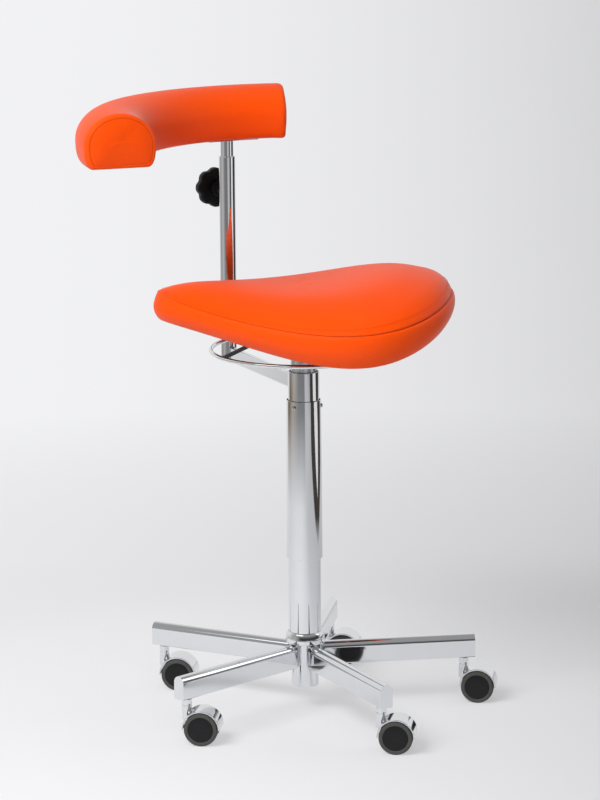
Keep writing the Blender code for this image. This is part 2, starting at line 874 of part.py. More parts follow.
def curved_strip(name, half_width, foot, top, start, end, steps, material):
    # A strip bent about the column, given about the post's own axis
    rings = []
    for i in range(steps + 1):
        angle = start + (end - start) * i / steps - arm_bearing
        corners = ((-half_width, foot), (half_width, foot), (half_width, top), (-half_width, top))
        ring = [Vector(polar(post_reach + offset, angle, z)) - Vector((post_reach, 0, 0)) for offset, z in corners]
        rings.append(ring)
    return lofted(name, rings, material)


plate_start = arm_bearing - plate_span / 2
plate_end = arm_bearing + plate_span / 2
screw_turn = plate_screw_inset / post_reach
screw_angles = (plate_start + screw_turn, plate_end - screw_turn)
screw_top = plate_top + contact_gap + plate_screw_grip


def plate_screw_holes():
    return [
        turn_mesh(
            rod(f"plate_hole_{k}", plate_screw_radius + contact_gap, plate_foot - 1 * plate_thickness, screw_top + 2 * contact_gap, zinc, 10),
            Matrix.Translation(Vector(polar(post_reach, angle - arm_bearing)) - Vector((post_reach, 0, 0))),
        )
        for k, angle in enumerate(screw_angles)
    ]


support_plate = curved_strip(
    "support_plate", plate_width / 2, plate_foot, plate_top, plate_start, plate_end, 8, chrome
)
joined(
    support_plate,
    rod("plate_spigot", plate_spigot_radius, plate_foot - plate_spigot_length, plate_foot + plate_thickness / 2, chrome),
)
cut(support_plate, *plate_screw_holes())
ride(post_line, support_plate)
for k, angle in enumerate(screw_angles):
    head_top = plate_foot - contact_gap
    screw = turned(
        f"plate_screw_{k + 1}",
        [
            (0, screw_top),
            (plate_screw_radius, screw_top),
            (plate_screw_radius, head_top),
            (plate_screw_head_radius, head_top),
            (plate_screw_head_radius * 0.7, head_top - plate_screw_head_height),
            (0, head_top - plate_screw_head_height),
        ],
        zinc,
        10,
    )
    lay = Matrix.Translation(Vector(polar(post_reach, angle - arm_bearing)) - Vector((post_reach, 0, 0)))
    ride(post_line, turn_mesh(screw, lay))

# Support pad: a roll with a domed top and a flat foot, bent about the column, with a board let into its foot
pad_section = [
    *[(pad_half_width * x, pad_shoulder + (pad_height - pad_shoulder) * y) for x, y in arc((0, 0), 1, 0, math.pi, 12)],
    *[
        (-pad_foot_half_width + (pad_half_width - pad_foot_half_width) * x, pad_shoulder + pad_shoulder * y)
        for x, y in arc((0, 0), 1, math.pi, 1.5 * math.pi, 4)[1:]
    ],
    *[
        (pad_foot_half_width + (pad_half_width - pad_foot_half_width) * x, pad_shoulder + pad_shoulder * y)
        for x, y in arc((0, 0), 1, 1.5 * math.pi, 2 * math.pi, 4)[:-1]
    ],
]


def pad_ring(angle, inset):
    keep = 1 - inset / pad_half_width
    middle = pad_height / 2
    ring = []
    for offset, z in pad_section:
        height = pad_foot + middle + (z - middle) * (1 - inset / middle)
        ring.append(Vector(polar(post_reach + offset * keep, angle - arm_bearing, height)) - Vector((post_reach, 0, 0)))
    return ring


pad_steps = 16
round_turn = pad_end_round / post_reach
round_angles = (0.0, round_turn * round_share, round_turn)
round_insets = (pad_end_round, pad_end_round * round_share, 0.0)
pad_first = pad_start + round_turn
pad_last = pad_end - round_turn
support_pad = lofted(
    "support_pad",
    [
        *[pad_ring(pad_start + turn, inset) for turn, inset in zip(round_angles, round_insets)],
        *[pad_ring(pad_first + (pad_last - pad_first) * i / pad_steps, 0.0) for i in range(1, pad_steps)],
        *[pad_ring(pad_end - turn, inset) for turn, inset in zip(reversed(round_angles), reversed(round_insets))],
    ],
    leatherette,
)
board_start = pad_start + pad_board_inset / post_reach
board_end = pad_end - pad_board_inset / post_reach
gap_turn = contact_gap / post_reach
pad_recess = curved_strip(
    "pad_recess",
    pad_board_half_width + contact_gap,
    pad_foot - pad_board_thickness,
    pad_foot + pad_board_thickness + contact_gap,
    board_start - gap_turn,
    board_end + gap_turn,
    pad_steps,
    leatherette,
)
cut(support_pad, pad_recess)
support_board = curved_strip(
    "support_board",
    pad_board_half_width,
    pad_foot,
    pad_foot + pad_board_thickness,
    board_start,
    board_end,
    pad_steps,
    plywood,
)
cut(support_board, *plate_screw_holes())
ride(post_line, support_pad, support_board)

# Casters: a half-round hood on a web, with its boss and stem, an axle and two wheels
hood_bore = wheel_radius + hood_clearance
hood_radius = hood_bore + hood_wall
half_web = web_thickness / 2
half_hood = half_web + wheel_play + wheel_width
wheel_turn = along((0, 1, 0))
hood_outline = [*arc((0, 0), hood_radius, 0, math.pi, 14), *arc((0, 0), web_foot_radius, math.pi, 2 * math.pi, 6)]
hood = lofted(
    "caster_1_hood",
    [[(caster_trail + x, y, wheel_radius + z) for x, z in hood_outline] for y in (-half_hood, half_hood)],
    chrome,
)
boss_top = arm_foot - neck_clearance
groove_middle = (boss_top + wheel_diameter) / 2
stem = turned(
    "stem",
    [
        (0, arm_foot + stem_depth),
        (stem_radius, arm_foot + stem_depth),
        (stem_radius, boss_top),
        (boss_radius, boss_top),
        (boss_radius, groove_middle + boss_groove_height / 2),
        (boss_radius - boss_groove, groove_middle + boss_groove_height / 2),
        (boss_radius - boss_groove, groove_middle - boss_groove_height / 2),
        (boss_radius, groove_middle - boss_groove_height / 2),
        (boss_radius, wheel_radius + web_foot_radius),
        (0, wheel_radius + web_foot_radius),
    ],
    chrome,
    16,
)
axle_place = Matrix.Translation((caster_trail, 0, wheel_radius)) @ wheel_turn
wheel_rooms = [
    turn_mesh(rod(f"wheel_room_{side}", hood_bore, half_web, 2 * half_hood, chrome, 28), axle_place @ flip)
    for side, flip in enumerate((Matrix(), Matrix.Rotation(math.pi, 4, "X")))
]
axle_room = turn_mesh(rod("axle_room", axle_radius + contact_gap, -half_hood, half_hood, chrome, 12), axle_place)
cut(joined(hood, stem), *wheel_rooms, axle_room)

half_axle = half_web + wheel_play + axle_grip
axle = turn_mesh(rod("caster_1_axle", axle_radius, -half_axle, half_axle, steel, 12), wheel_turn)
wheel_steps = 20
rim_radius = wheel_radius / math.cos(math.pi / wheel_steps)
wheel_face = half_web + wheel_play + wheel_width
wheel = turned(
    "caster_1_wheel_a",
    [
        (0, wheel_face - wheel_disc_recess),
        (wheel_disc_radius - wheel_disc_recess, wheel_face - wheel_disc_recess),
        (wheel_disc_radius, wheel_face),
        (rim_radius - wheel_edge_round, wheel_face),
        (rim_radius, wheel_face - wheel_edge_round),
        (rim_radius, wheel_face - wheel_width),
        (axle_radius + running_gap, wheel_face - wheel_width),
        (axle_radius + running_gap, half_axle + contact_gap),
        (0, half_axle + contact_gap),
    ],
    wheel_plastic,
    wheel_steps,
)
# A flat of the wheel's outline, not a corner, faces the floor
turn_mesh(wheel, wheel_turn @ Matrix.Rotation(math.pi / 2 + math.pi / wheel_steps, 4, "Z"))
for k in range(caster_count):
    arm_angle = first_arm_angle + k * 2 * math.pi / caster_count
    swivel = empty(f"caster_{k + 1}_swivel", polar(stem_radius_from_column, arm_angle), caster_heading)
    hub_line = empty(f"caster_{k + 1}_axle_line", (caster_trail, 0, wheel_radius))
    ride(swivel, hood if k == 0 else copy_of(hood, f"caster_{k + 1}_hood"), hub_line)
    wheels = (
        wheel if k == 0 else copy_of(wheel, f"caster_{k + 1}_wheel_a"),
        copy_of(wheel, f"caster_{k + 1}_wheel_b"),
    )
    wheels[1].rotation_euler.z = math.pi
    ride(hub_line, axle if k == 0 else copy_of(axle, f"caster_{k + 1}_axle"), *wheels)
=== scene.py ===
import math

import bmesh
import bpy
from mathutils import Matrix, Vector


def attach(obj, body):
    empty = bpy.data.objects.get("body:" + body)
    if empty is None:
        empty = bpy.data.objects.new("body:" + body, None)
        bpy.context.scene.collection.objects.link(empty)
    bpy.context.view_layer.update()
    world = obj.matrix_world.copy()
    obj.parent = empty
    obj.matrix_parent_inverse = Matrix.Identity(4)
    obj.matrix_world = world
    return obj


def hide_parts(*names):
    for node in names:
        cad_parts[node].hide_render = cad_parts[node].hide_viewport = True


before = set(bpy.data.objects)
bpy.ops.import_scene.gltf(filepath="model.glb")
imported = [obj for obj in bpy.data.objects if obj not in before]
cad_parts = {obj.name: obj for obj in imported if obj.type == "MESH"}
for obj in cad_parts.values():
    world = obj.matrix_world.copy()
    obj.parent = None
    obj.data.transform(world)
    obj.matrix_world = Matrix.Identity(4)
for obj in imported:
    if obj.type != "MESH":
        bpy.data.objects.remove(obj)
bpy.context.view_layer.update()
scene = bpy.context.scene
casterCount = 5
print("frame loaded:", len(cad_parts), "nodes")


# Shader sockets as values

class Wire:
    def __init__(self, tree, socket):
        self.tree = tree
        self.socket = socket

    def also(self, out):
        # another output of the same node
        return Wire(self.tree, self.socket.node.outputs[out])

    def maths(self, operation, other, reflected=False):
        node = self.tree.nodes.new("ShaderNodeMath")
        node.operation = operation
        pair = (other, self) if reflected else (self, other)
        for slot, value in zip(node.inputs, pair):
            join(self.tree, slot, value)
        return Wire(self.tree, node.outputs[0])

    def __add__(self, other):
        return self.maths("ADD", other)

    def __radd__(self, other):
        return self.maths("ADD", other, True)

    def __sub__(self, other):
        return self.maths("SUBTRACT", other)

    def __rsub__(self, other):
        return self.maths("SUBTRACT", other, True)

    def __mul__(self, other):
        return self.maths("MULTIPLY", other)

    def __rmul__(self, other):
        return self.maths("MULTIPLY", other, True)

    def __truediv__(self, other):
        return self.maths("DIVIDE", other)

    def __rtruediv__(self, other):
        return self.maths("DIVIDE", other, True)

    def __pow__(self, other):
        return self.maths("POWER", other)

    def __rpow__(self, other):
        return self.maths("POWER", other, True)


def join(tree, slot, value):
    if isinstance(value, Wire):
        tree.links.new(value.socket, slot)
    elif slot.type == "RGBA" and len(value) == 3:
        slot.default_value = (*value, 1.0)
    else:
        slot.default_value = value


class Recipe:
    def __init__(self, tree):
        self.tree = tree

    def node(self, kind, settings=None, sockets=None, out=0):
        node = self.tree.nodes.new("ShaderNode" + kind)
        for key, value in (settings or {}).items():
            if key == "stops":
                while len(node.color_ramp.elements) < len(value):
                    node.color_ramp.elements.new(1.0)
                for element, (spot, colour) in zip(node.color_ramp.elements, value):
                    element.position = spot
                    element.color = (*colour, 1.0)
            else:
                setattr(node, key, value)
        for key, value in (sockets or {}).items():
            join(self.tree, node.inputs[key], value)
        return Wire(self.tree, node.outputs[out])

    def between(self, mask, low, high, start=0.0, end=1.0):
        sockets = {"Value": mask, "From Min": start, "From Max": end, "To Min": low, "To Max": high}
        return self.node("MapRange", {"clamp": True}, sockets)

    def mixed(self, mask, first, second):
        return self.node("Mix", {"data_type": "RGBA"}, {0: mask, 6: first, 7: second}, out=2)

    def blended(self, mask, first, second):
        return self.node("MixShader", None, {0: mask, 1: first, 2: second})

    def glowing(self, colour, strength=1.0):
        return self.node("Emission", None, {"Color": colour, "Strength": strength})

    def rayMask(self):
        # one for what the eye, a polished surface or clear glass sees
        rays = self.node("LightPath", out="Is Camera Ray")
        return rays + rays.also("Is Glossy Ray") + rays.also("Is Transmission Ray")


class Finish(Recipe):
    def __init__(self, name, **constants):
        self.material = bpy.data.materials.new(name)
        self.material.use_nodes = True
        super().__init__(self.material.node_tree)
        self.shader = self.tree.nodes["Principled BSDF"]
        self.feed(**constants)
        self.place = self.node("TexCoord", out="Object")

    def noise(self, scale, detail=3.0, rough=0.5, place=None):
        sockets = {"Vector": place or self.place, "Scale": scale, "Detail": detail, "Roughness": rough}
        return self.node("TexNoise", None, sockets)

    def cells(self, feature, scale):
        return self.node("TexVoronoi", {"feature": feature}, {"Vector": self.place, "Scale": scale})

    def bands(self, direction, scale, **sockets):
        settings = {"wave_type": "BANDS", "bands_direction": direction}
        return self.node("TexWave", settings, {"Vector": self.place, "Scale": scale, **sockets})

    def mapped(self, **sockets):
        return self.node("Mapping", {"vector_type": "POINT"}, {"Vector": self.place, **sockets})

    def reach(self):
        return self.node("VectorMath", {"operation": "LENGTH"}, {0: self.place}, out="Value")

    def bump(self, height, strength, distance):
        return self.node("Bump", None, {"Height": height, "Strength": strength, "Distance": distance})

    def feed(self, **links):
        for key, value in links.items():
            join(self.tree, self.shader.inputs[key.replace("_", " ")], value)
        return self

    def shows(self, surface):
        join(self.tree, self.tree.nodes["Material Output"].inputs[0], surface)


def shaded(colour, share):
    return tuple(min(1.0, c * share) for c in colour)


chromeLook = {
    "colour": (0.795, 0.810, 0.832), "dimmest": 0.95, "roughness": 0.025, "smear": 0.04, "polishShare": 0.4,
    "hazeScale": 38.0, "polishScale": 900.0, "rippleScale": 60.0, "ripple": 0.012, "rippleDepth": 0.0004,
}


def chromeFinish(name, look):
    colour = look["colour"]
    chrome = Finish(name, Base_Color=colour, Metallic=1.0)
    haze = chrome.noise(look["hazeScale"], 4.0)
    polish = chrome.noise(look["polishScale"], 2.0, 0.6)
    ripple = chrome.bump(chrome.noise(look["rippleScale"], 2.0), look["ripple"], look["rippleDepth"])
    tone = chrome.mixed(chrome.between(haze, 0.0, 1.0), shaded(colour, look["dimmest"]), colour)
    rough = look["roughness"] + haze * look["smear"] + polish * look["smear"] * look["polishShare"]
    return chrome.feed(Base_Color=tone, Roughness=rough, Normal=ripple)


leatherLook = {
    # the seam colour is painted shade in the seam's groove; deep varies at random over the cover
    "colour": (0.96, 0.082, 0.0008), "deep": (0.91, 0.072, 0.0005), "seam": (0.36, 0.024, 0.0004),
    "specular": 0.19, "sheen": 0.12, "sheenRoughness": 0.30,
    "roughness": 0.41, "blotchRoughness": 0.06, "valleyRoughness": 0.15,
    "cellScale": 620.0, "creaseScale": 430.0, "poreScale": 1500.0, "blotchScale": 9.0,
    "creaseShare": 1.6, "cellShare": 0.5, "poreShare": 0.25, "grain": 0.14, "grainDepth": 0.0006,
    # the last three keys paint shade into the grain's creases
    "creaseShade": 0.25, "valleyWidth": 0.12, "valleyShade": 0.72,
}


def leatheretteFinish(name, look):
    skin = Finish(
        name, IOR=1.45, Specular_IOR_Level=look["specular"],
        Sheen_Weight=look["sheen"], Sheen_Roughness=look["sheenRoughness"],
    )
    cells = skin.cells("F1", look["cellScale"])
    creases = skin.cells("DISTANCE_TO_EDGE", look["creaseScale"])
    pores = skin.noise(look["poreScale"], 2.0, 0.6)
    grain = creases * look["creaseShare"] + cells * look["cellShare"] + pores * look["poreShare"]
    blotch = skin.noise(look["blotchScale"], 3.0)
    # painted shade: the grain's creases are darker, and rougher
    creaseShade = skin.between(creases, look["creaseShade"], 0.0, 0.0, look["valleyWidth"])
    # painted shade: the cover darkens along its seams
    seam = skin.node("Attribute", {"attribute_name": "seam"}, out="Fac")
    tone = skin.mixed(blotch, look["deep"], look["colour"])
    tone = skin.mixed(creaseShade, tone, shaded(look["deep"], look["valleyShade"]))
    tone = skin.mixed(seam, tone, look["seam"])
    rough = look["roughness"] + blotch * look["blotchRoughness"] + creaseShade * look["valleyRoughness"]
    relief = skin.bump(grain, look["grain"], look["grainDepth"])
    return skin.feed(Base_Color=tone, Roughness=rough, Normal=relief)


threadLook = {
    "colour": (0.88, 0.085, 0.006), "shade": 0.6, "specular": 0.25, "roughness": 0.55, "twistRoughness": 0.2,
    "twistScale": 900.0, "twist": 0.3, "twistDepth": 0.0002,
}


def threadFinish(name, look):
    thread = Finish(name, Specular_IOR_Level=look["specular"])
    twist = thread.bands("DIAGONAL", look["twistScale"])
    # painted shade: the thread is darker in the grooves of its twist
    tone = thread.mixed(twist, shaded(look["colour"], look["shade"]), look["colour"])
    rough = look["roughness"] + twist * look["twistRoughness"]
    relief = thread.bump(twist, look["twist"], look["twistDepth"])
    return thread.feed(Base_Color=tone, Roughness=rough, Normal=relief)


mouldLook = {"wearScale": 22.0, "wearRoughness": 0.12, "wearShades": (0.8, 1.25), "grainDepth": 0.0004}


def mouldedFinish(name, colour, roughness, grainScale, grain, gloss=0.45):
    plastic = Finish(name, Specular_IOR_Level=gloss)
    pitting = plastic.noise(grainScale, 3.0, 0.6)
    wear = plastic.noise(mouldLook["wearScale"], 4.0)
    tone = plastic.mixed(wear, *[shaded(colour, share) for share in mouldLook["wearShades"]])
    rough = roughness + wear * mouldLook["wearRoughness"]
    relief = plastic.bump(pitting, grain, mouldLook["grainDepth"])
    return plastic.feed(Base_Color=tone, Roughness=rough, Normal=relief)


plateLook = {
    "brushing": (60.0, 900.0, 900.0), "brushRoughness": 0.18, "brush": 0.05, "brushDepth": 0.0003,
    "spangleScale": 140.0, "spangleShade": 0.82,
}


def platedFinish(name, colour, roughness):
    plate = Finish(name, Metallic=1.0)
    brushing = plate.noise(1.0, 3.0, 0.6, plate.mapped(Scale=plateLook["brushing"]))
    spangle = plate.cells("F1", plateLook["spangleScale"])
    tone = plate.mixed(spangle, shaded(colour, plateLook["spangleShade"]), colour)
    rough = roughness + brushing * plateLook["brushRoughness"]
    relief = plate.bump(brushing, plateLook["brush"], plateLook["brushDepth"])
    return plate.feed(Base_Color=tone, Roughness=rough, Normal=relief)


woodLook = {
    "dark": (0.42, 0.26, 0.13), "pale": (0.66, 0.47, 0.28), "specular": 0.3, "roughness": 0.6,
    "figure": (6.0, 42.0, 120.0), "figureShare": 0.6, "figureRoughness": 0.2,
    "ringScale": 26.0, "ringShare": 0.3, "grain": 0.12, "grainDepth": 0.0005,
}


def plywoodFinish(name, look):
    wood = Finish(name, Specular_IOR_Level=look["specular"])
    figure = wood.noise(1.0, 5.0, 0.55, wood.mapped(Scale=look["figure"]))
    rings = wood.bands("Y", look["ringScale"], Distortion=7.0, Detail=3.0)
    tone = wood.mixed(figure * look["figureShare"] + rings * look["ringShare"], look["dark"], look["pale"])
    rough = look["roughness"] + figure * look["figureRoughness"]
    relief = wood.bump(figure, look["grain"], look["grainDepth"])
    return wood.feed(Base_Color=tone, Roughness=rough, Normal=relief)


chrome = chromeFinish("polished_chrome", chromeLook)
plated = platedFinish("zinc_plated_steel", (0.56, 0.57, 0.60), 0.24)
steel = platedFinish("ground_steel", (0.62, 0.63, 0.65), 0.18)
leatherette = leatheretteFinish("orange_leatherette", leatherLook)
thread = threadFinish("orange_thread", threadLook)
knobBlack = mouldedFinish("knob_black", (0.005, 0.005, 0.006), 0.42, 1400.0, 0.12, 0.16)
liningBlack = mouldedFinish("lining_black", (0.018, 0.018, 0.019), 0.55, 900.0, 0.20)
tyreGrey = mouldedFinish("tyre_grey", (0.072, 0.071, 0.065), 0.48, 900.0, 0.10, 0.30)
discBlack = mouldedFinish("wheel_disc_black", (0.012, 0.012, 0.013), 0.34, 1800.0, 0.05, 0.22)
bushWhite = mouldedFinish("bush_white", (0.74, 0.74, 0.70), 0.45, 700.0, 0.06)
plywood = plywoodFinish("seat_plywood", woodLook)
print("finishes mixed")


# Mesh helpers

weld = 1e-6  # points closer than this become one
hair = 1e-5


def vertsOf(geom):
    return [g for g in geom if isinstance(g, bmesh.types.BMVert)]


def edgesOf(geom):
    return [g for g in geom if isinstance(g, bmesh.types.BMEdge)]


def fullTurn(bm, geom, steps):
    bmesh.ops.spin(
        bm, geom=geom, axis=(0, 0, 1), cent=(0, 0, 0), angle=2 * math.pi, steps=steps, use_merge=True
    )
    return tidied(bm)


def lathe(profile, steps=96, closed=True):
    bm = bmesh.new()
    line = [bm.verts.new((radius, 0.0, height)) for radius, height in profile]
    edges = [bm.edges.new(pair) for pair in zip(line, line[1:])]
    if closed:
        edges.append(bm.edges.new((line[-1], line[0])))
    return fullTurn(bm, line + edges, steps)


def tidied(bm):
    bmesh.ops.remove_doubles(bm, verts=bm.verts, dist=weld)
    bmesh.ops.recalc_face_normals(bm, faces=bm.faces)
    if bm.calc_volume(signed=True) < 0:
        bmesh.ops.reverse_faces(bm, faces=bm.faces)
    return bm


def eased(bm, width, segments=3, least=35.0, chosen=None):
    # rounds the edges that turn by more than the least angle
    edges = [e for e in bm.edges if len(e.link_faces) == 2 and e.calc_face_angle(0.0) > math.radians(least)]
    if chosen:
        edges = [e for e in edges if chosen(e)]
    bmesh.ops.bevel(
        bm, geom=edges, offset=width, affect="EDGES", segments=segments, profile=0.5, material=-1,
        clamp_overlap=True,
    )
    return tidied(bm)


def thickened(bm, along):
    # pulls a flat sheet out into a solid
    grown = bmesh.ops.extrude_face_region(bm, geom=bm.faces[:])["geom"]
    bmesh.ops.translate(bm, vec=along, verts=vertsOf(grown))
    return tidied(bm)


def arcOf(centre, radius, start, end, steps):
    angles = [math.radians(start + (end - start) * i / steps) for i in range(steps + 1)]
    return [(centre[0] + radius * math.cos(a), centre[1] + radius * math.sin(a)) for a in angles]


def facing(direction):
    return Vector((0, 0, 1)).rotation_difference(Vector(direction)).to_matrix().to_4x4()


def spunBy(degrees):
    return Matrix.Rotation(math.radians(degrees), 4, "Z")


def polar(radius, degrees, height=0.0):
    angle = math.radians(degrees)
    return Vector((radius * math.cos(angle), radius * math.sin(angle), height))


def turnedBy(bm, matrix):
    bmesh.ops.transform(bm, matrix=matrix, verts=bm.verts)
    return bm


def objectOf(name, bm, *finishes, crease=40.0):
    mesh = bpy.data.meshes.new(name)
    bm.to_mesh(mesh)
    bm.free()
    for finish in finishes:
        mesh.materials.append(finish.material)
    mesh.shade_smooth()
    mesh.set_sharp_from_angle(angle=math.radians(crease))
    piece = bpy.data.objects.new(name, mesh)
    scene.collection.objects.link(piece)
    return piece


def fitted(piece, body, slot, *nodes, weighted=True):
    if weighted:
        normals = piece.modifiers.new("flat faces", "WEIGHTED_NORMAL")
        normals.keep_sharp = True
        normals.weight = 80
    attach(piece, body)
    if nodes:
        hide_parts(*nodes)
    return piece


def merged(name, operation, first, *others):
    # Boolean of whole meshes, kept as one clean mesh
    piece = objectOf(name, first, chrome)
    tools = []
    for other in others:
        tool = objectOf(name + "_tool", other, chrome)
        tools.append(tool)
        step = piece.modifiers.new("cut", "BOOLEAN")
        step.operation = operation
        step.object = tool
        step.solver = "EXACT"
    graph = bpy.context.evaluated_depsgraph_get()
    bm = bmesh.new()
    bm.from_mesh(piece.evaluated_get(graph).to_mesh())
    for spare in [piece, *tools]:
        mesh = spare.data
        bpy.data.objects.remove(spare)
        bpy.data.meshes.remove(mesh)
    bmesh.ops.remove_doubles(bm, verts=bm.verts, dist=weld)
    bmesh.ops.dissolve_degenerate(bm, dist=weld, edges=bm.edges)
    return bm


def blockOf(sizeX, sizeY, sizeZ, centre=(0, 0, 0)):
    bm = bmesh.new()
    bmesh.ops.create_cube(bm, size=1.0)
    bmesh.ops.scale(bm, vec=(sizeX, sizeY, sizeZ), verts=bm.verts)
    bmesh.ops.translate(bm, vec=centre, verts=bm.verts)
    return bm


def rodOf(radius, foot, top, steps=32):
    return lathe([(0.0, foot), (radius, foot), (radius, top), (0.0, top)], steps, closed=False)


def cupOf(radius, bore, foot, top, floor, steps=96):
    # a rod with a blind bore from its top
    profile = [(0.0, foot), (radius, foot), (radius, top), (bore, top), (bore, floor), (0.0, floor)]
    return lathe(profile, steps, closed=False)


# Base: hub and five arms

hubSize = {
    "radius": 0.0200, "bore": 0.0150, "boreEase": 0.0005, "foot": 0.0365, "footRound": 0.0022,
    "webFoot": 0.0935, "webBore": 0.0043, "tubeSeat": 0.1095, "tubeRoom": 0.0248,
    "collarFoot": 0.1040, "collarTop": 0.1220, "collarRadius": 0.0300, "collarLip": 0.0022,
    "collarEase": 0.0008, "domeFrom": 84, "lipFrom": -15,
}


def makeHub(size):
    radius, bore, foot, room = size["radius"], size["bore"], size["foot"], size["tubeRoom"]
    neck, lip, footRound = size["collarFoot"], size["collarLip"], size["footRound"]
    rise = size["collarTop"] - neck - lip
    spread = size["collarRadius"] - room
    dome = arcOf((0, 0), 1.0, size["domeFrom"], 0, 14)
    profile = [
        (room, size["collarTop"]),
        *[(room + spread * x, neck + lip + rise * z) for x, z in dome],
        *arcOf((size["collarRadius"] - lip, neck + lip), lip, size["lipFrom"], -90, 6),
        (radius + size["collarEase"], neck),
        (radius, neck - size["collarEase"]),
        *arcOf((radius - footRound, foot + footRound), footRound, 0, -90, 6),
        (bore + size["boreEase"], foot),
        (bore, foot + size["boreEase"]),
        (bore, size["webFoot"]),
        (size["webBore"], size["webFoot"]),
        (size["webBore"], size["tubeSeat"]),
        (room, size["tubeSeat"]),
    ]
    return fitted(objectOf("hub_turned", lathe(profile, 128), chrome), "base", "chrome", "hub")


armSize = {
    "reach": 0.2605, "halfWidth": 0.0100, "foot": 0.0687, "top": 0.1037, "edgeRound": 0.0020,
    "endRound": 0.0058, "endSteps": 8, "hubRoom": 0.0203, "innerRound": 0.0095, "columns": 36,
    "firstAngle": 8.8,
}


def armTurn(number):
    return armSize["firstAngle"] + 360.0 / casterCount * (number - 1)


def makeArm(number, size):
    half, edge = size["halfWidth"], size["edgeRound"]
    bm = bmesh.new()
    bmesh.ops.create_grid(bm, x_segments=size["columns"], y_segments=1, size=0.5)
    for v in bm.verts:
        turn = math.pi * (v.co.x + 0.5)
        y = -half * math.cos(turn)
        corner = max(0.0, edge - (half - abs(y)))
        low = size["foot"] + edge - math.sqrt(edge**2 - corner**2)
        high = size["top"] - half + half * math.sin(turn)
        v.co = (size["reach"], y, high if v.co.y > 0 else low)
    # the inner end is half round and meets the hub in a line
    grown = bmesh.ops.extrude_face_region(bm, geom=bm.faces[:])["geom"]
    for v in vertsOf(grown):
        across = min(1.0, abs(v.co.y) / half)
        v.co.x = size["hubRoom"] + size["innerRound"] * (1 - math.sqrt(1 - across**2))
    tidied(bm)
    outer = size["reach"] - hair
    eased(bm, size["endRound"], size["endSteps"], 50.0, lambda e: all(v.co.x > outer for v in e.verts))
    turnedBy(bm, spunBy(armTurn(number)))
    return fitted(objectOf(f"arm_tube_{number}", bm, chrome), "base", "chrome", f"arm_{number}")


makeHub(hubSize)
for armNumber in range(1, casterCount + 1):
    makeArm(armNumber, armSize)
print("base made")


# Column: stand tube, bearing tube, seat socket, and the sleeve with its screws

tubes = {
    "stand_tube": {
        "piece": "stand_tube_drawn", "body": "base", "slot": "chrome", "finish": chrome,
        "bore": 0.0225, "radius": 0.0245, "foot": 0.1098, "top": 0.3378, "edge": 0.0006,
    },
    "bearing_tube": {
        "piece": "bearing_tube_drawn", "body": "support_arm", "slot": "chrome", "finish": chrome,
        "bore": 0.0215, "radius": 0.0235, "foot": 0.4591, "top": 0.5211, "edge": 0.0006,
    },
    "seat_socket": {
        "piece": "seat_socket_turned", "body": "seat", "slot": "steel", "finish": steel,
        "bore": 0.0143, "radius": 0.0190, "foot": 0.4518, "top": 0.5736, "edge": 0.0005,
    },
}


def makeTube(node, facts):
    bore, radius, foot, top = facts["bore"], facts["radius"], facts["foot"], facts["top"]
    bm = eased(lathe([(radius, top), (radius, foot), (bore, foot), (bore, top)], 128), facts["edge"], 3)
    return fitted(objectOf(facts["piece"], bm, facts["finish"]), facts["body"], facts["slot"], node)


sleeveSize = {
    "bore": 0.0250, "foot": 0.2360, "top": 0.4781, "footRadius": 0.0273, "topRadius": 0.0259, "lip": 0.0003,
    "footEase": (0.0008, 0.0010), "screwDrop": 0.0090, "screwSeat": 0.0263, "screwTip": 0.0238,
    "screwBearings": (116.0, 236.0, 356.0), "slotTurns": (55.0, 90.0, 125.0),
}


def makeSleeve(size):
    lip, top, foot = size["lip"], size["top"], size["foot"]
    profile = [
        (size["bore"], top),
        (size["topRadius"] - lip, top),
        (size["topRadius"], top - lip),
        (size["footRadius"], foot + size["footEase"][1]),
        (size["footRadius"] - size["footEase"][0], foot),
        (size["bore"], foot),
    ]
    return fitted(objectOf("sleeve_drawn", lathe(profile, 128), chrome), "support_arm", "chrome", "sleeve")


screwSize = {
    "headRadius": 0.0032, "headHeight": 0.0022, "headEdge": 0.0005, "shank": 0.0020,
    "slotWidth": 0.0008, "slotDepth": 0.0009,
}


def slottedScrew(size, seat, tip, slotTurn):
    head, edge, crown = size["headRadius"], size["headEdge"], size["headHeight"]
    turns = [math.radians(a) for a in range(0, 91, 10)]
    dome = [(head * math.cos(a), seat + edge + (crown - edge) * math.sin(a)) for a in turns]
    dome[-1] = (0.0, seat + crown)
    profile = [(0.0, tip), (size["shank"], tip), (size["shank"], seat), (head, seat), *dome]
    bm = lathe(profile, 32, closed=False)
    slot = blockOf(head * 3, size["slotWidth"], size["slotDepth"] * 2, (0, 0, seat + crown))
    return merged("screw", "DIFFERENCE", bm, turnedBy(slot, spunBy(slotTurn)))


def makeSleeveScrews(size):
    for number, (bearing, slotTurn) in enumerate(zip(size["screwBearings"], size["slotTurns"]), start=1):
        bm = slottedScrew(screwSize, size["screwSeat"], size["screwTip"], slotTurn)
        lay = Matrix.Translation((0, 0, size["top"] - size["screwDrop"])) @ facing(polar(1.0, bearing))
        piece = objectOf(f"sleeve_screw_slotted_{number}", turnedBy(bm, lay), plated, crease=30.0)
        fitted(piece, "support_arm", "zinc_plate", f"sleeve_screw_{number}")


for tubeNode, tubeFacts in tubes.items():
    makeTube(tubeNode, tubeFacts)
makeSleeve(sleeveSize)
makeSleeveScrews(sleeveSize)
print("column made")


# Support arm: bar, post, rod, plate and knob

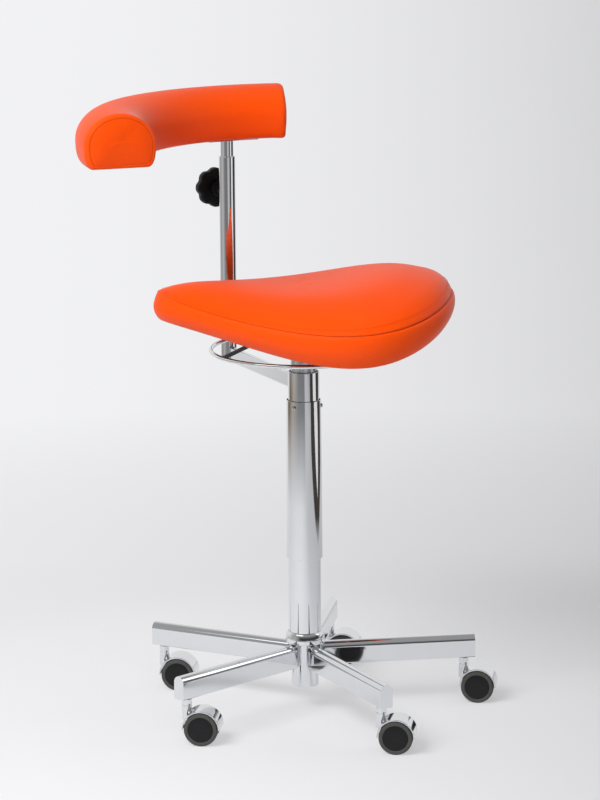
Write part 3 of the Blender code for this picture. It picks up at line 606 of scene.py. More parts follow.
postSize = {
    "bearing": 114.7, "reach": 0.2780, "radius": 0.0125, "bore": 0.0105, "foot": 0.4881, "footWall": 0.0030,
    "top": 0.8093, "edge": 0.0007, "bossRadius": 0.0090, "bossEnd": 0.0255, "bossStart": 0.0010,
    "knobHeight": 0.7548, "studRoom": 0.0043, "rodRadius": 0.0100, "rodTop": 0.8351, "rodLength": 0.2750,
    "rodBore": 0.0063, "rodBoreDepth": 0.0160, "rodEdge": 0.0006,
}
postPlace = Matrix.Translation(polar(postSize["reach"], postSize["bearing"])) @ spunBy(postSize["bearing"])


def makePost(size):
    wall = cupOf(size["radius"], size["bore"], size["foot"], size["top"], size["foot"] + size["footWall"])
    eased(wall, size["edge"], 3)
    lay = Matrix.Translation((0, 0, size["knobHeight"])) @ facing((1, 0, 0))
    boss = turnedBy(rodOf(size["bossRadius"], size["bore"] + size["bossStart"], size["bossEnd"], 48), lay)
    bore = turnedBy(rodOf(size["studRoom"], 0.0, size["bossEnd"] * 2, 32), lay)
    bm = merged("post", "DIFFERENCE", merged("post", "UNION", wall, boss), bore)
    piece = objectOf("post_tube_drawn", turnedBy(bm, postPlace), chrome)
    return fitted(piece, "support_arm", "chrome", "post_tube")


def makeRod(size):
    top = size["rodTop"]
    bm = cupOf(size["rodRadius"], size["rodBore"], top - size["rodLength"], top, top - size["rodBoreDepth"])
    eased(bm, size["rodEdge"], 3)
    piece = objectOf("support_rod_ground", turnedBy(bm, postPlace), chrome)
    return fitted(piece, "support_post_rod", "chrome", "support_rod")


barSize = {
    "inner": 0.0238, "outer": 0.2652, "thickness": 0.0100, "foot": 0.4881, "height": 0.0230,
    "edgeRound": 0.0025,
}


def makeBar(size):
    length = size["outer"] - size["inner"]
    middle = ((size["outer"] + size["inner"]) / 2, 0.0, size["foot"] + size["height"] / 2)
    bm = blockOf(length, size["thickness"], size["height"], middle)
    eased(bm, size["edgeRound"], 5, 50.0, lambda e: abs(e.verts[0].co.x - e.verts[1].co.x) > length / 2)
    turnedBy(bm, spunBy(postSize["bearing"]))
    return fitted(objectOf("support_bar_flat", bm, chrome), "support_arm", "chrome", "support_bar")


plateSize = {
    "foot": 0.8354, "thickness": 0.0035, "width": 0.0500, "span": 19.0, "cornerRound": 0.0060, "edge": 0.0008,
    "spigotRadius": 0.0060, "spigotLength": 0.0120, "steps": 24, "screwInset": 0.0100, "screwRoom": 0.0023,
    "screwRoomHalf": 0.0100, "screwSeat": 0.0003, "screwTip": -0.0101, "slotTurns": (-20.0, 120.0),
}
plateScrewSize = {**screwSize, "headRadius": 0.0040, "headHeight": 0.0020}


def makePlate(size):
    foot, thickness, reach = size["foot"], size["thickness"], postSize["reach"]
    axis = Vector((reach, 0, 0))
    bm = bmesh.new()
    bmesh.ops.create_grid(bm, x_segments=size["steps"], y_segments=1, size=0.5)
    for v in bm.verts:
        v.co = polar(reach + v.co.y * size["width"], v.co.x * size["span"], foot) - axis
    thickened(bm, (0, 0, thickness))
    eased(bm, size["cornerRound"], 6, 60.0, lambda e: abs(e.verts[0].co.z - e.verts[1].co.z) > thickness / 2)
    eased(bm, size["edge"], 2, 60.0)
    spigot = rodOf(size["spigotRadius"], foot - size["spigotLength"], foot + thickness / 2, 48)
    bm = merged("plate", "UNION", bm, spigot)
    rooms = []
    for number, (end, slotTurn) in enumerate(zip((-1, 1), size["slotTurns"]), start=1):
        turn = end * (size["span"] / 2 - math.degrees(size["screwInset"] / reach))
        spot = polar(reach, turn) - axis
        room = rodOf(size["screwRoom"], foot - size["screwRoomHalf"], foot + size["screwRoomHalf"], 24)
        rooms.append(turnedBy(room, Matrix.Translation(spot)))
        screw = slottedScrew(plateScrewSize, size["screwSeat"], size["screwTip"], slotTurn)
        lay = postPlace @ Matrix.Translation(spot + Vector((0, 0, foot))) @ facing((0, 0, -1))
        piece = objectOf(f"plate_screw_slotted_{number}", turnedBy(screw, lay), plated, crease=30.0)
        fitted(piece, "support", "zinc_plate", f"plate_screw_{number}")
    bm = merged("plate", "DIFFERENCE", bm, *rooms)
    piece = objectOf("support_plate_pressed", turnedBy(bm, postPlace), chrome)
    return fitted(piece, "support", "chrome", "support_plate")


knobSize = {
    "radius": 0.0308, "lobes": 8, "lobeDepth": 0.0028, "lobePower": 1.7, "gripFoot": 0.0388,
    "thickness": 0.0180, "edge": 0.0050, "footRise": 0.2, "footRoom": 0.0020,
    "footFlat": (1.4, 0.8),  # inset in edge rounds, share of the lobes
    "topFlat": (0.0006, 1.8, 0.7),  # the same, after its depth
    "topDish": [(0.0024, 0.50), (0.0010, 0.72)],  # depth, inset as a share of the radius
    "hubRadius": 0.0125, "hubFoot": 0.0258, "hubEdge": 0.0010, "studRadius": 0.0040, "studTip": 0.0103,
    "steps": 168,
}


def makeKnob(size):
    radius, edge, hub = size["radius"], size["edge"], size["hubRadius"]
    foot, top = size["gripFoot"], size["gripFoot"] + size["thickness"]
    hubFoot, hubEdge = size["hubFoot"], size["hubEdge"]

    def lobed(ring, height, inset, share):
        for v in ring:
            angle = math.atan2(v.co.y, v.co.x)
            dip = size["lobeDepth"] * (0.5 - 0.5 * math.cos(size["lobes"] * angle)) ** size["lobePower"]
            reach = radius - dip * share - inset
            v.co = (reach * math.cos(angle), reach * math.sin(angle), height)

    # each ring of the grip: height, inset from the rim, share of the lobes
    rounds = [math.radians(a) for a in (0, 18, 36, 54, 72, 90)]
    footFlat, topFlat = size["footFlat"], size["topFlat"]
    rings = [(foot + edge * size["footRise"], radius - hub - size["footRoom"], 0.0)]
    rings.append((foot, edge * footFlat[0], footFlat[1]))
    rings += [(foot + edge * (1 - math.cos(a)), edge * (1 - math.sin(a)), 1.0) for a in rounds]
    rings += [(top - edge * (1 - math.sin(a)), edge * (1 - math.cos(a)), 1.0) for a in rounds]
    rings.append((top - topFlat[0], edge * topFlat[1], topFlat[2]))
    rings += [(top - drop, radius * inset, 0.0) for drop, inset in size["topDish"]]
    bm = bmesh.new()
    ring = bmesh.ops.create_circle(bm, segments=size["steps"], radius=0.01)["verts"]
    lobed(ring, *rings[0])
    edges = bm.edges[:]
    bmesh.ops.holes_fill(bm, edges=edges, sides=0)
    for facts in rings[1:]:
        grown = bmesh.ops.extrude_edge_only(bm, edges=edges)["geom"]
        edges = edgesOf(grown)
        lobed(vertsOf(grown), *facts)
    bmesh.ops.holes_fill(bm, edges=edges, sides=0)
    tidied(bm)
    profile = [
        (0.0, foot + edge), (hub, foot + edge), (hub, hubFoot + hubEdge), (hub - hubEdge, hubFoot),
        (size["studRadius"], hubFoot), (size["studRadius"], size["studTip"]), (0.0, size["studTip"]),
    ]
    bm = merged("knob", "UNION", bm, lathe(profile, 48, closed=False))
    lay = postPlace @ Matrix.Translation((0, 0, postSize["knobHeight"])) @ facing((1, 0, 0))
    piece = objectOf("clamp_knob_moulded", turnedBy(bm, lay), knobBlack, crease=50.0)
    return fitted(piece, "clamp_knob", "knob_plastic", "knob")


makePost(postSize)
makeRod(postSize)
makeBar(barSize)
makePlate(plateSize)
makeKnob(knobSize)
print("support arm made")


# Release ring and its strip

leverSize = {
    "bearing": 31.0, "ringRadius": 0.1375, "ringHeight": 0.5543, "ringSteps": 192,
    "wire": 0.0032, "wireSteps": 20,
    "stripMiddle": 0.5854, "stripFlat": 0.0420, "stripBend": 0.0060, "stripPast": 0.0006, "stripSteps": 48,
    "stripWidth": 0.0120, "stripHeight": 0.0030, "stripEdge": 0.0007,
    "pivot": -0.0300, "barrelRadius": 0.0050, "barrelBore": 0.0028, "barrelWidth": 0.0240,
}


def makeLever(size):
    ring = bmesh.new()
    wire = bmesh.ops.create_circle(ring, segments=size["wireSteps"], radius=size["wire"])["verts"]
    bmesh.ops.rotate(ring, cent=(0, 0, 0), matrix=Matrix.Rotation(math.pi / 2, 3, "X"), verts=wire)
    bmesh.ops.translate(ring, vec=(size["ringRadius"], 0, size["ringHeight"]), verts=wire)
    fullTurn(ring, ring.verts[:] + ring.edges[:], size["ringSteps"])
    # the strip is flat over the column, then bends down to the ring on both sides
    strip = bmesh.new()
    bmesh.ops.create_grid(strip, x_segments=size["stripSteps"], y_segments=1, size=0.5)
    bend = size["stripBend"]
    reach = size["ringRadius"] + size["stripPast"]
    slope = (size["stripMiddle"] - size["ringHeight"]) / (reach - size["stripFlat"])
    for v in strip.verts:
        x = 2 * reach * v.co.x
        past = abs(x) - size["stripFlat"]
        drop = slope * past if past >= bend else slope * max(0.0, past + bend) ** 2 / (4 * bend)
        v.co = (x, v.co.y * size["stripWidth"], size["stripMiddle"] - drop - size["stripHeight"] / 2)
    thickened(strip, (0, 0, size["stripHeight"]))
    eased(strip, size["stripEdge"], 3, 60.0)
    lay = Matrix.Translation((size["pivot"], 0, size["stripMiddle"])) @ facing((0, 1, 0))
    barrel = turnedBy(rodOf(size["barrelRadius"], -size["barrelWidth"] / 2, size["barrelWidth"] / 2, 48), lay)
    bore = turnedBy(rodOf(size["barrelBore"], -size["barrelWidth"], size["barrelWidth"], 32), lay)
    bm = merged("lever", "DIFFERENCE", merged("lever", "UNION", ring, strip, barrel), bore)
    turnedBy(bm, spunBy(size["bearing"]))
    return fitted(objectOf("ring_lever_bent", bm, chrome), "release_lever", "chrome", "ring_lever")


makeLever(leverSize)
print("release lever made")


# Casters: hood with stem, axle and two wheels each

casterSize = {
    "trail": 0.0225, "heading": -8.0, "stemCircle": 0.2445, "wheelRadius": 0.0250, "wheelWidth": 0.0150,
    "play": 0.0008, "hoodBore": 0.0262, "hoodRadius": 0.0284, "hoodEdge": 0.0007, "hoodSteps": 64,
    "webHalf": 0.0040, "webFoot": 0.0110, "webInset": 0.0010, "webLift": 0.0005,
    "cutShare": 0.6, "cutReach": 0.0600, "stemRadius": 0.0055, "stemTop": 0.0927,
    "bossRadius": 0.0075, "bossTop": 0.0677, "bossFoot": 0.0362, "bossEase": 0.0008,
    "grooveTop": 0.0599, "grooveFoot": 0.0579, "grooveRadius": 0.0062,
    "axleRadius": 0.0040, "axleHalf": 0.0163, "axleEdge": 0.0004, "axleRoom": 0.0003, "axleReach": 0.0500,
}


def hoodShape(size):
    half = size["webHalf"] + size["play"] + size["wheelWidth"]
    bore, inset, ease, lift = size["hoodBore"], size["webInset"], size["bossEase"], size["webLift"]
    shell = bmesh.new()
    bmesh.ops.create_grid(shell, x_segments=1, y_segments=1, size=0.5)
    for v in shell.verts:
        v.co = (size["hoodRadius"] if v.co.x > 0 else bore, v.co.y * 2 * half, 0.0)
    shellParts = shell.verts[:] + shell.edges[:] + shell.faces[:]
    bmesh.ops.spin(
        shell, geom=shellParts, axis=(0, 1, 0), cent=(0, 0, 0), angle=-math.pi, steps=size["hoodSteps"]
    )
    eased(tidied(shell), size["hoodEdge"], 3, 50.0)
    # the web stands between the wheels and ends inside the shell's wall
    outline = arcOf((0, lift), bore + inset - lift, 0, 180, 48)
    outline += arcOf((0, 0), size["webFoot"], 178, 362, 40)
    web = bmesh.new()
    web.faces.new([web.verts.new((x, -size["webHalf"], z)) for x, z in outline])
    thickened(web, (0, 2 * size["webHalf"], 0))
    axleHole = rodOf(size["axleRadius"] + size["axleRoom"], -size["axleReach"], size["axleReach"], 32)
    web = merged("web", "DIFFERENCE", web, turnedBy(axleHole, facing((0, 1, 0))))
    place = Matrix.Translation((size["trail"], 0, size["wheelRadius"]))
    stem, boss, groove = size["stemRadius"], size["bossRadius"], size["grooveRadius"]
    profile = [
        (0.0, size["stemTop"]), (stem, size["stemTop"]), (stem, size["bossTop"]),
        (boss - ease, size["bossTop"]), (boss, size["bossTop"] - ease),
        (boss, size["grooveTop"] + ease / 2), (groove, size["grooveTop"]),
        (groove, size["grooveFoot"]), (boss, size["grooveFoot"] - ease / 2),
        (boss, size["bossFoot"]), (0.0, size["bossFoot"]),
    ]
    # the boss is cut back to the middle of the wall and of the web, so no two faces lie in one plane
    deep = inset * size["cutShare"]
    rooms = []
    for side in (-1, 1):
        room = rodOf(bore + deep, size["webHalf"] - deep, size["cutReach"], 96)
        rooms.append(turnedBy(room, place @ facing((0, side, 0))))
    post = merged("stem", "DIFFERENCE", lathe(profile, 48, closed=False), *rooms)
    body = turnedBy(merged("hood", "UNION", shell, web), place)
    return merged("hood", "UNION", body, post)


# the lists are steps of the outline: the disc's crown and lip, the tyre's shoulder and its groove
wheelSize = {
    "disc": 0.0186, "recess": 0.0011, "tyreRound": 0.0030, "backRound": 0.0014, "discDepth": 0.0010,
    "crown": [(0.0, 0.0006), (0.55, 0.0005), (0.93, 0.0)],
    "lip": [(-0.0002, -0.0003), (0.0002, -0.0001)],
    "shoulder": [(0.0005, -0.0005), (0.0011, -0.0001), (0.0020, 0.0)],
    "groove": [(0.0, -0.0072), (-0.0004, -0.0076), (-0.0004, -0.0080), (0.0, -0.0084)],
}


def wheelShape(caster, size):
    inner = caster["webHalf"] + caster["play"]
    face = inner + caster["wheelWidth"]
    rim, disc, around, back = caster["wheelRadius"], size["disc"], size["tyreRound"], size["backRound"]
    sunk = face - size["recess"]
    bore, boreEnd = caster["axleRadius"] + caster["axleRoom"], caster["axleHalf"] + caster["axleRoom"]
    profile = [
        *[(disc * share, sunk + rise) for share, rise in size["crown"]],
        *[(disc + out, sunk + rise) for out, rise in size["lip"]],
        *[(disc + out, face + rise) for out, rise in size["shoulder"]],
        *arcOf((rim - around, face - around), around, 80, 0, 8),
        *[(rim + out, face + rise) for out, rise in size["groove"]],
        *arcOf((rim - back, inner + back), back, 0, -90, 5),
        (bore, inner),
        (bore, boreEnd),
        (0.0, boreEnd),
    ]
    bm = lathe(profile, 128, closed=False)
    for f in bm.faces:
        spot = f.calc_center_median()
        onDisc = math.hypot(spot.x, spot.y) < disc and spot.z > sunk - size["discDepth"]
        f.material_index = 1 if onDisc else 0
    return bm


def makeCasters(size):
    hood = hoodShape(size)
    wheel = wheelShape(size, wheelSize)
    axle = rodOf(size["axleRadius"], -size["axleHalf"], size["axleHalf"], 32)
    eased(axle, size["axleEdge"], 2, 60.0)
    for number in range(1, casterCount + 1):
        swivel = Matrix.Translation(polar(size["stemCircle"], armTurn(number))) @ spunBy(size["heading"])
        hub = swivel @ Matrix.Translation((size["trail"], 0, size["wheelRadius"]))
        body = f"caster_{number}"
        piece = objectOf(body + "_hood_pressed", turnedBy(hood.copy(), swivel), chrome, crease=30.0)
        fitted(piece, body, "chrome", body + "_hood")
        piece = objectOf(body + "_axle_ground", turnedBy(axle.copy(), hub @ facing((0, 1, 0))), steel)
        fitted(piece, body, "steel", body + "_axle")
        for side, letter, which in ((1, "a", "far"), (-1, "b", "near")):
            bm = turnedBy(wheel.copy(), hub @ facing((0, side, 0)))
            piece = objectOf(f"{body}_wheel_moulded_{letter}", bm, tyreGrey, discBlack, crease=50.0)
            fitted(piece, f"{body}_{which}_wheel", "wheel_plastic", f"{body}_wheel_{letter}", weighted=False)
    for spare in (hood, wheel, axle):
        spare.free()


makeCasters(casterSize)
print("casters made")


# Soft covers: rings of points pulled out of one loop, swelled by cloth, then seamed

def coverOf(rings):
    bm = bmesh.new()
    layer = bm.verts.layers.int.new("ring")
    loop = bmesh.ops.create_circle(bm, segments=len(rings[0]), radius=0.1)["verts"]
    edges = bm.edges[:]
    spots = {v: i for i, v in enumerate(loop)}
    for count, points in enumerate(rings):
        if count:
            grown = bmesh.ops.extrude_edge_only(bm, edges=edges)["geom"]
            edges = edgesOf(grown)
            follow = {}
            for v in vertsOf(grown):
                for e in v.link_edges:
                    other = e.other_vert(v)
                    if other in spots:
                        follow[v] = spots[other]
            spots = follow
        for v, i in spots.items():
            v.co = points[i]
            v[layer] = count
    bmesh.ops.holes_fill(bm, edges=[e for e in bm.edges if e.is_boundary], sides=0)
    return tidied(bm)


def ringNumbers(bm):
    layer = bm.verts.layers.int["ring"]
    return [v[layer] for v in bm.verts]


clothRun = {"frames": 20, "loose": 0.30}  # loose is how firmly the free points are held
clothSettings = {
    "quality": 6, "mass": 0.3, "tension_stiffness": 25, "compression_stiffness": 25, "bending_stiffness": 2,
    "use_pressure": True, "uniform_pressure_force": 4.0, "vertex_group_mass": "sewn",
}


def swelled(piece, sewn, most):
    # A short cloth run under gentle pressure. The sewn points are where the cover is stitched or stapled.
    start = [v.co.copy() for v in piece.data.vertices]
    group = piece.vertex_groups.new(name="sewn")
    for index, held in enumerate(sewn):
        group.add([index], 1.0 if held else clothRun["loose"], "REPLACE")
    cloth = piece.modifiers.new("swell", "CLOTH")
    for key, value in clothSettings.items():
        setattr(cloth.settings, key, value)
    cloth.settings.effector_weights.gravity = 0
    cloth.collision_settings.use_collision = False
    cloth.point_cache.frame_start = 1
    cloth.point_cache.frame_end = clothRun["frames"]
    for step in range(1, clothRun["frames"] + 1):
        scene.frame_set(step)
    graph = bpy.context.evaluated_depsgraph_get()
    after = [v.co.copy() for v in piece.evaluated_get(graph).data.vertices]
    piece.modifiers.remove(cloth)
    piece.vertex_groups.remove(group)
    scene.frame_set(1)
    moved = 0.0
    for vertex, here, there in zip(piece.data.vertices, start, after):
        shift = there - here
        if shift.length > most:
            shift *= most / shift.length
        moved = max(moved, shift.length)
        vertex.co = here + shift
    print(piece.name, "swelled by up to", round(moved * 1000, 2), "mm")


def seamed(piece, ringOf, seams, strength, lowest=0.0):
    # Keeps the sewn rings sharp under smoothing and marks them for the painted shade of the seam's groove in
    # the cover's colour
    mesh = piece.data
    shadeMark = mesh.attributes.new("seam", "FLOAT", "POINT")
    for index, ring in enumerate(ringOf):
        shown = ring in seams and mesh.vertices[index].co.z > lowest
        shadeMark.data[index].value = strength if shown else 0.0
    crease = mesh.attributes.new("crease_edge", "FLOAT", "EDGE")
    for edge in mesh.edges:
        first, second = (ringOf[v] for v in edge.vertices)
        crease.data[edge.index].value = 1.0 if first == second and first in seams else 0.0
    mesh.update()
    smooth = piece.modifiers.new("smooth", "SUBSURF")
    smooth.levels = 1
    smooth.render_levels = 1


# the three curves are heights from the nose to the rear, the ring lists are shares of each panel
seatSize = {
    "underside": 0.5909, "halfLength": 0.2188, "centre": 0.0011, "halfWidth": 0.1820, "taper": 0.0950,
    "seam": (0.0532, 0.0317, 0.0206, 0.0225, 0.0506),
    "rim": (0.0131, -0.0042, -0.0236, -0.0247, 0.0168),
    "ridge": (0.0863, 0.0652, 0.0630, 0.0850, 0.1332),
    "crown": 4.4, "rearFullness": 0.0070, "rearStart": 0.80, "rearShape": (3.08, 1.5, 0.5),
    "bulge": 0.0050, "bulgeShape": (0.62, 0.60, 0.8), "drawIn": 0.0040, "sideDraw": 0.0075, "drawStart": 0.35,
    "drawShape": (2.4, 0.6), "footDrop": 0.0020, "noseTuck": 0.0032, "nosePower": 6,
    "flat": 0.0860, "boardEdge": 0.0042, "boardInset": 0.0200, "boardThickness": 0.0100, "boardGap": 0.0003,
    "segments": 180, "seamGroove": 0.0007, "seamSink": 0.3, "seamShade": 1.0, "swell": 0.0020,
    "crownRings": (
        0.02, 0.08, 0.16, 0.24, 0.32, 0.40, 0.48, 0.55, 0.62, 0.68, 0.74, 0.79, 0.83, 0.87, 0.90, 0.925,
        0.945, 0.962, 0.976, 0.986, 0.993, 0.9975,
    ),
    "panelRings": (
        0.012, 0.035, 0.07, 0.12, 0.18, 0.25, 0.33, 0.41, 0.50, 0.59, 0.68, 0.76, 0.83, 0.89, 0.94, 0.975,
        1.0,
    ),
    "footRings": (0.36, 0.52, 0.75, 1.0), "boardRings": (0.66, 0.33, 0.0, -0.5, -0.97),
}


def stationCurve(heights, share):
    # Smooth curve through five heights at even stations, nose to rear
    stations = (-1.0, -0.5, 0.0, 0.5, 1.0)
    total = 0.0
    for i, height in enumerate(heights):
        weight = 1.0
        for j, station in enumerate(stations):
            if j != i:
                weight *= (share - station) / (stations[i] - station)
        total += height * weight
    return total


class Saddle:
    def __init__(self, size):
        self.size = size
        self.turns = [2 * math.pi * i / size["segments"] for i in range(size["segments"])]

    def rim(self, u, offset=0.0):
        size = self.size
        length, width, taper = size["halfLength"], size["halfWidth"], size["taper"]
        spot = Vector((size["centre"] + length * math.cos(u), math.sin(u) * (width + taper * math.cos(u))))
        slope = Vector((-length * math.sin(u), width * math.cos(u) + taper * math.cos(2 * u)))
        return spot + Vector((slope.y, -slope.x)).normalized() * offset

    def height(self, name, share):
        return self.size["underside"] + stationCurve(self.size[name], share)

    def noseShare(self, u):
        return max(0.0, -math.cos(u)) ** self.size["nosePower"]

    def top(self, u, share):
        size = self.size
        x, y = self.rim(u, -size["noseTuck"] * self.noseShare(u)) * share
        ridge = self.height("ridge", (x - size["centre"]) / size["halfLength"])
        ridgeAtRim = self.height("ridge", math.cos(u))
        z = ridge + (self.height("seam", math.cos(u)) - ridgeAtRim) * share ** size["crown"]
        # the rear is stuffed fuller, close to its seam
        past = (share - size["rearStart"]) / (1 - size["rearStart"])
        if 0 < past < 1:
            peak, rise, fall = size["rearShape"]
            z += size["rearFullness"] * max(0.0, math.cos(u)) * peak * past**rise * (1 - past) ** fall
        return Vector((x, y, z))

    def side(self, u, share):
        # the panel is fullest a third of the way down, lower at the nose, and rounded under at the foot
        size = self.size
        nose, flank = self.noseShare(u), math.sin(u) ** 2
        shift, noseShift, power = size["bulgeShape"]
        out = size["bulge"] * math.sin(math.pi * share ** (shift + noseShift * nose)) ** power
        tuck = max(0.0, share - size["drawStart"]) / (1 - size["drawStart"])
        steep, ease = size["drawShape"]
        drawn = (size["drawIn"] + size["sideDraw"] * flank) * tuck ** (steep - ease * flank)
        x, y = self.rim(u, out - drawn - size["noseTuck"] * nose * (1 - share) ** 2)
        seam = self.height("seam", math.cos(u))
        foot = self.height("rim", math.cos(u)) - size["footDrop"]
        return Vector((x, y, seam + (foot - seam) * share))

    def under(self, u, inset, share, lift):
        size = self.size
        level = size["underside"]
        rim = self.rim(u, -size["boardEdge"])
        edge = rim * (1 - inset / rim.length)
        flat = edge * (size["flat"] / edge.length)
        x, y = flat + (edge - flat) * share if share >= 0 else flat * (1 + share)
        fall = max(0.0, math.hypot(x, y) - size["flat"]) / (rim.length - size["flat"])
        return Vector((x, y, level + (self.height("rim", math.cos(u)) - level) * fall**2 + lift))


def makeSeat(size):
    saddle = Saddle(size)
    turns = saddle.turns
    rings = [[saddle.top(u, share) for u in turns] for share in (*size["crownRings"], 1.0)]
    seamRing = len(rings) - 1
    rings += [[saddle.side(u, share) for u in turns] for share in size["panelRings"]]
    tuckRing = len(rings) - 1
    inset = size["boardInset"] - size["boardGap"]
    lift = size["boardThickness"] + size["boardGap"]
    for k in size["footRings"]:
        rings.append([saddle.under(u, inset * k, 1.0, -size["footDrop"] * (1 - k**2)) for u in turns])
    rings.append([saddle.under(u, inset, 1.0, lift) for u in turns])
    for share in size["boardRings"]:
        rings.append([saddle.under(u, size["boardInset"], share, lift) for u in turns])
    bm = coverOf(rings)
    ringOf = ringNumbers(bm)
    piece = objectOf("seat_cushion_covered", bm, leatherette, crease=75.0)
    swelled(piece, [abs(ring - seamRing) <= 1 or ring >= tuckRing for ring in ringOf], size["swell"])
    # the sewn seam draws in, after the cover has swelled
    for vertex, ring in zip(piece.data.vertices, ringOf):
        if ring == seamRing:
            inward = Vector((-vertex.co.x, -vertex.co.y, 0.0)).normalized()
            vertex.co += inward * size["seamGroove"] + Vector((0, 0, -size["seamSink"] * size["seamGroove"]))
    seamed(piece, ringOf, (seamRing,), size["seamShade"])
    fitted(piece, "seat", "leatherette", "seat_cushion", weighted=False)
    return saddle


# a thin black lining closes the underside of the board
liningSize = {
    "rise": 0.0001, "drop": 0.0012, "thickness": 0.0003, "thin": (0.2, 4.0),
    "shares": (-0.97, 0.0, 0.5, 0.985),
}


def makeLining(saddle, size):
    def ring(share, extra):
        away = max(0.0, share)
        least, growth = size["thin"]
        lift = -size["rise"] - size["drop"] * away - extra * min(1.0, least + growth * away)
        return [saddle.under(u, saddle.size["boardInset"], share, lift) for u in saddle.turns]

    rings = [ring(share, 0.0) for share in size["shares"]]
    rings += [ring(share, size["thickness"]) for share in reversed(size["shares"])]
    piece = objectOf("seat_under_lining", coverOf(rings), liningBlack)
    fitted(piece, "seat", "knob_plastic", weighted=False)


stitchSize = {
    "inset": 0.030, "length": 0.0036, "pitch": 0.0052, "thread": 0.00042, "flatness": 0.75, "rise": 0.0006,
    "steps": 2400, "reach": 0.01,
}


def makeSeatStitches(saddle, size):
    # one short bowed thread for each stitch, laid along a line just inside the seam
    share = 1.0 - size["inset"]
    near = size["reach"]
    fine = [saddle.top(2 * math.pi * i / size["steps"], share) for i in range(size["steps"] + 1)]
    travelled = 0.0
    nextStart = 0.0
    start = None
    bm = bmesh.new()
    for i in range(size["steps"]):
        travelled += (fine[i + 1] - fine[i]).length
        if start is None and travelled >= nextStart:
            start = i
            begun = travelled
        if start is not None and travelled - begun >= size["length"]:
            u = 2 * math.pi * (start + i) / 2 / size["steps"]
            out = saddle.top(u, share + near) - saddle.top(u, share - near)
            across = saddle.top(u + near, share) - saddle.top(u - near, share)
            sewStitch(bm, fine[start], fine[i], out.cross(across).normalized(), size)
            nextStart = begun + size["pitch"]
            start = None
    fitted(objectOf("seat_top_stitching", bm, thread, crease=80.0), "seat", "leatherette", weighted=False)


def sewStitch(bm, here, there, up, size):
    along = there - here
    turn = Matrix((along.normalized(), up.cross(along).normalized(), up)).transposed().to_4x4()
    place = Matrix.Translation((here + there) / 2 + up * size["rise"]) @ turn
    fresh = bmesh.ops.create_icosphere(bm, subdivisions=1, radius=1.0)["verts"]
    stretch = (along.length * 0.5, size["thread"], size["thread"] * size["flatness"])
    bmesh.ops.scale(bm, vec=stretch, verts=fresh)
    bmesh.ops.transform(bm, matrix=place, verts=fresh)


saddle = makeSeat(seatSize)
makeLining(saddle, liningSize)
makeSeatStitches(saddle, stitchSize)
print("seat made")


# each end panel is (distance in from its seam, share of its dome), centre first
padSize = {
    "reach": 0.2780, "start": 95.8, "end": 201.4, "foot": 0.8392, "height": 0.0794, "shoulder": 0.0330,
    "halfWidth": 0.0541, "footHalfWidth": 0.0400, "fullness": 0.80,
    "dome": 0.0034, "endRound": 0.0090, "endSag": 0.0014,
    "panel": [
        (0.0334, 1.00), (0.0305, 0.995), (0.0250, 0.98), (0.0195, 0.92), (0.0150, 0.82), (0.0112, 0.66),
        (0.0082, 0.46), (0.0056, 0.26), (0.0036, 0.10), (0.0018, 0.035),
    ],
    "welt": [(0.0002, 0.0008), (0.0005, 0.0)], "endTurns": (15, 33, 52, 71, 90),
    "seamBack": 0.0014, "seamInset": 0.0055, "seamFoot": 0.0075, "seamShade": 0.50, "seamGroove": 0.0005,
    "seamPull": (0.5, 0.9), "boardInset": 0.0300, "soleRoom": 0.0005, "lengthSteps": 120, "swell": 0.0020,
    "crownSteps": 40, "hangSteps": 12, "soleSteps": 5,
}


def padSection(size):
    shoulder, foot, full = size["shoulder"], size["footHalfWidth"], size["fullness"]
    rise = size["height"] - shoulder
    hang = size["halfWidth"] - foot
    crown = arcOf((0, 0), 1.0, 0, 180, size["crownSteps"])
    upper = [(size["halfWidth"] * x, shoulder + rise * y) for x, y in crown]
    quarter = [(abs(x) ** full, abs(y) ** full) for x, y in arcOf((0, 0), 1.0, 0, 90, size["hangSteps"])][1:]
    left = [(-foot - hang * x, shoulder * (1 - y)) for x, y in quarter]
    right = [(foot + hang * x, shoulder * (1 - y)) for x, y in reversed(quarter)]
    sole = [(foot * (k / size["soleSteps"]), 0.0) for k in range(1 - size["soleSteps"], size["soleSteps"])]
    return upper + left + sole + right


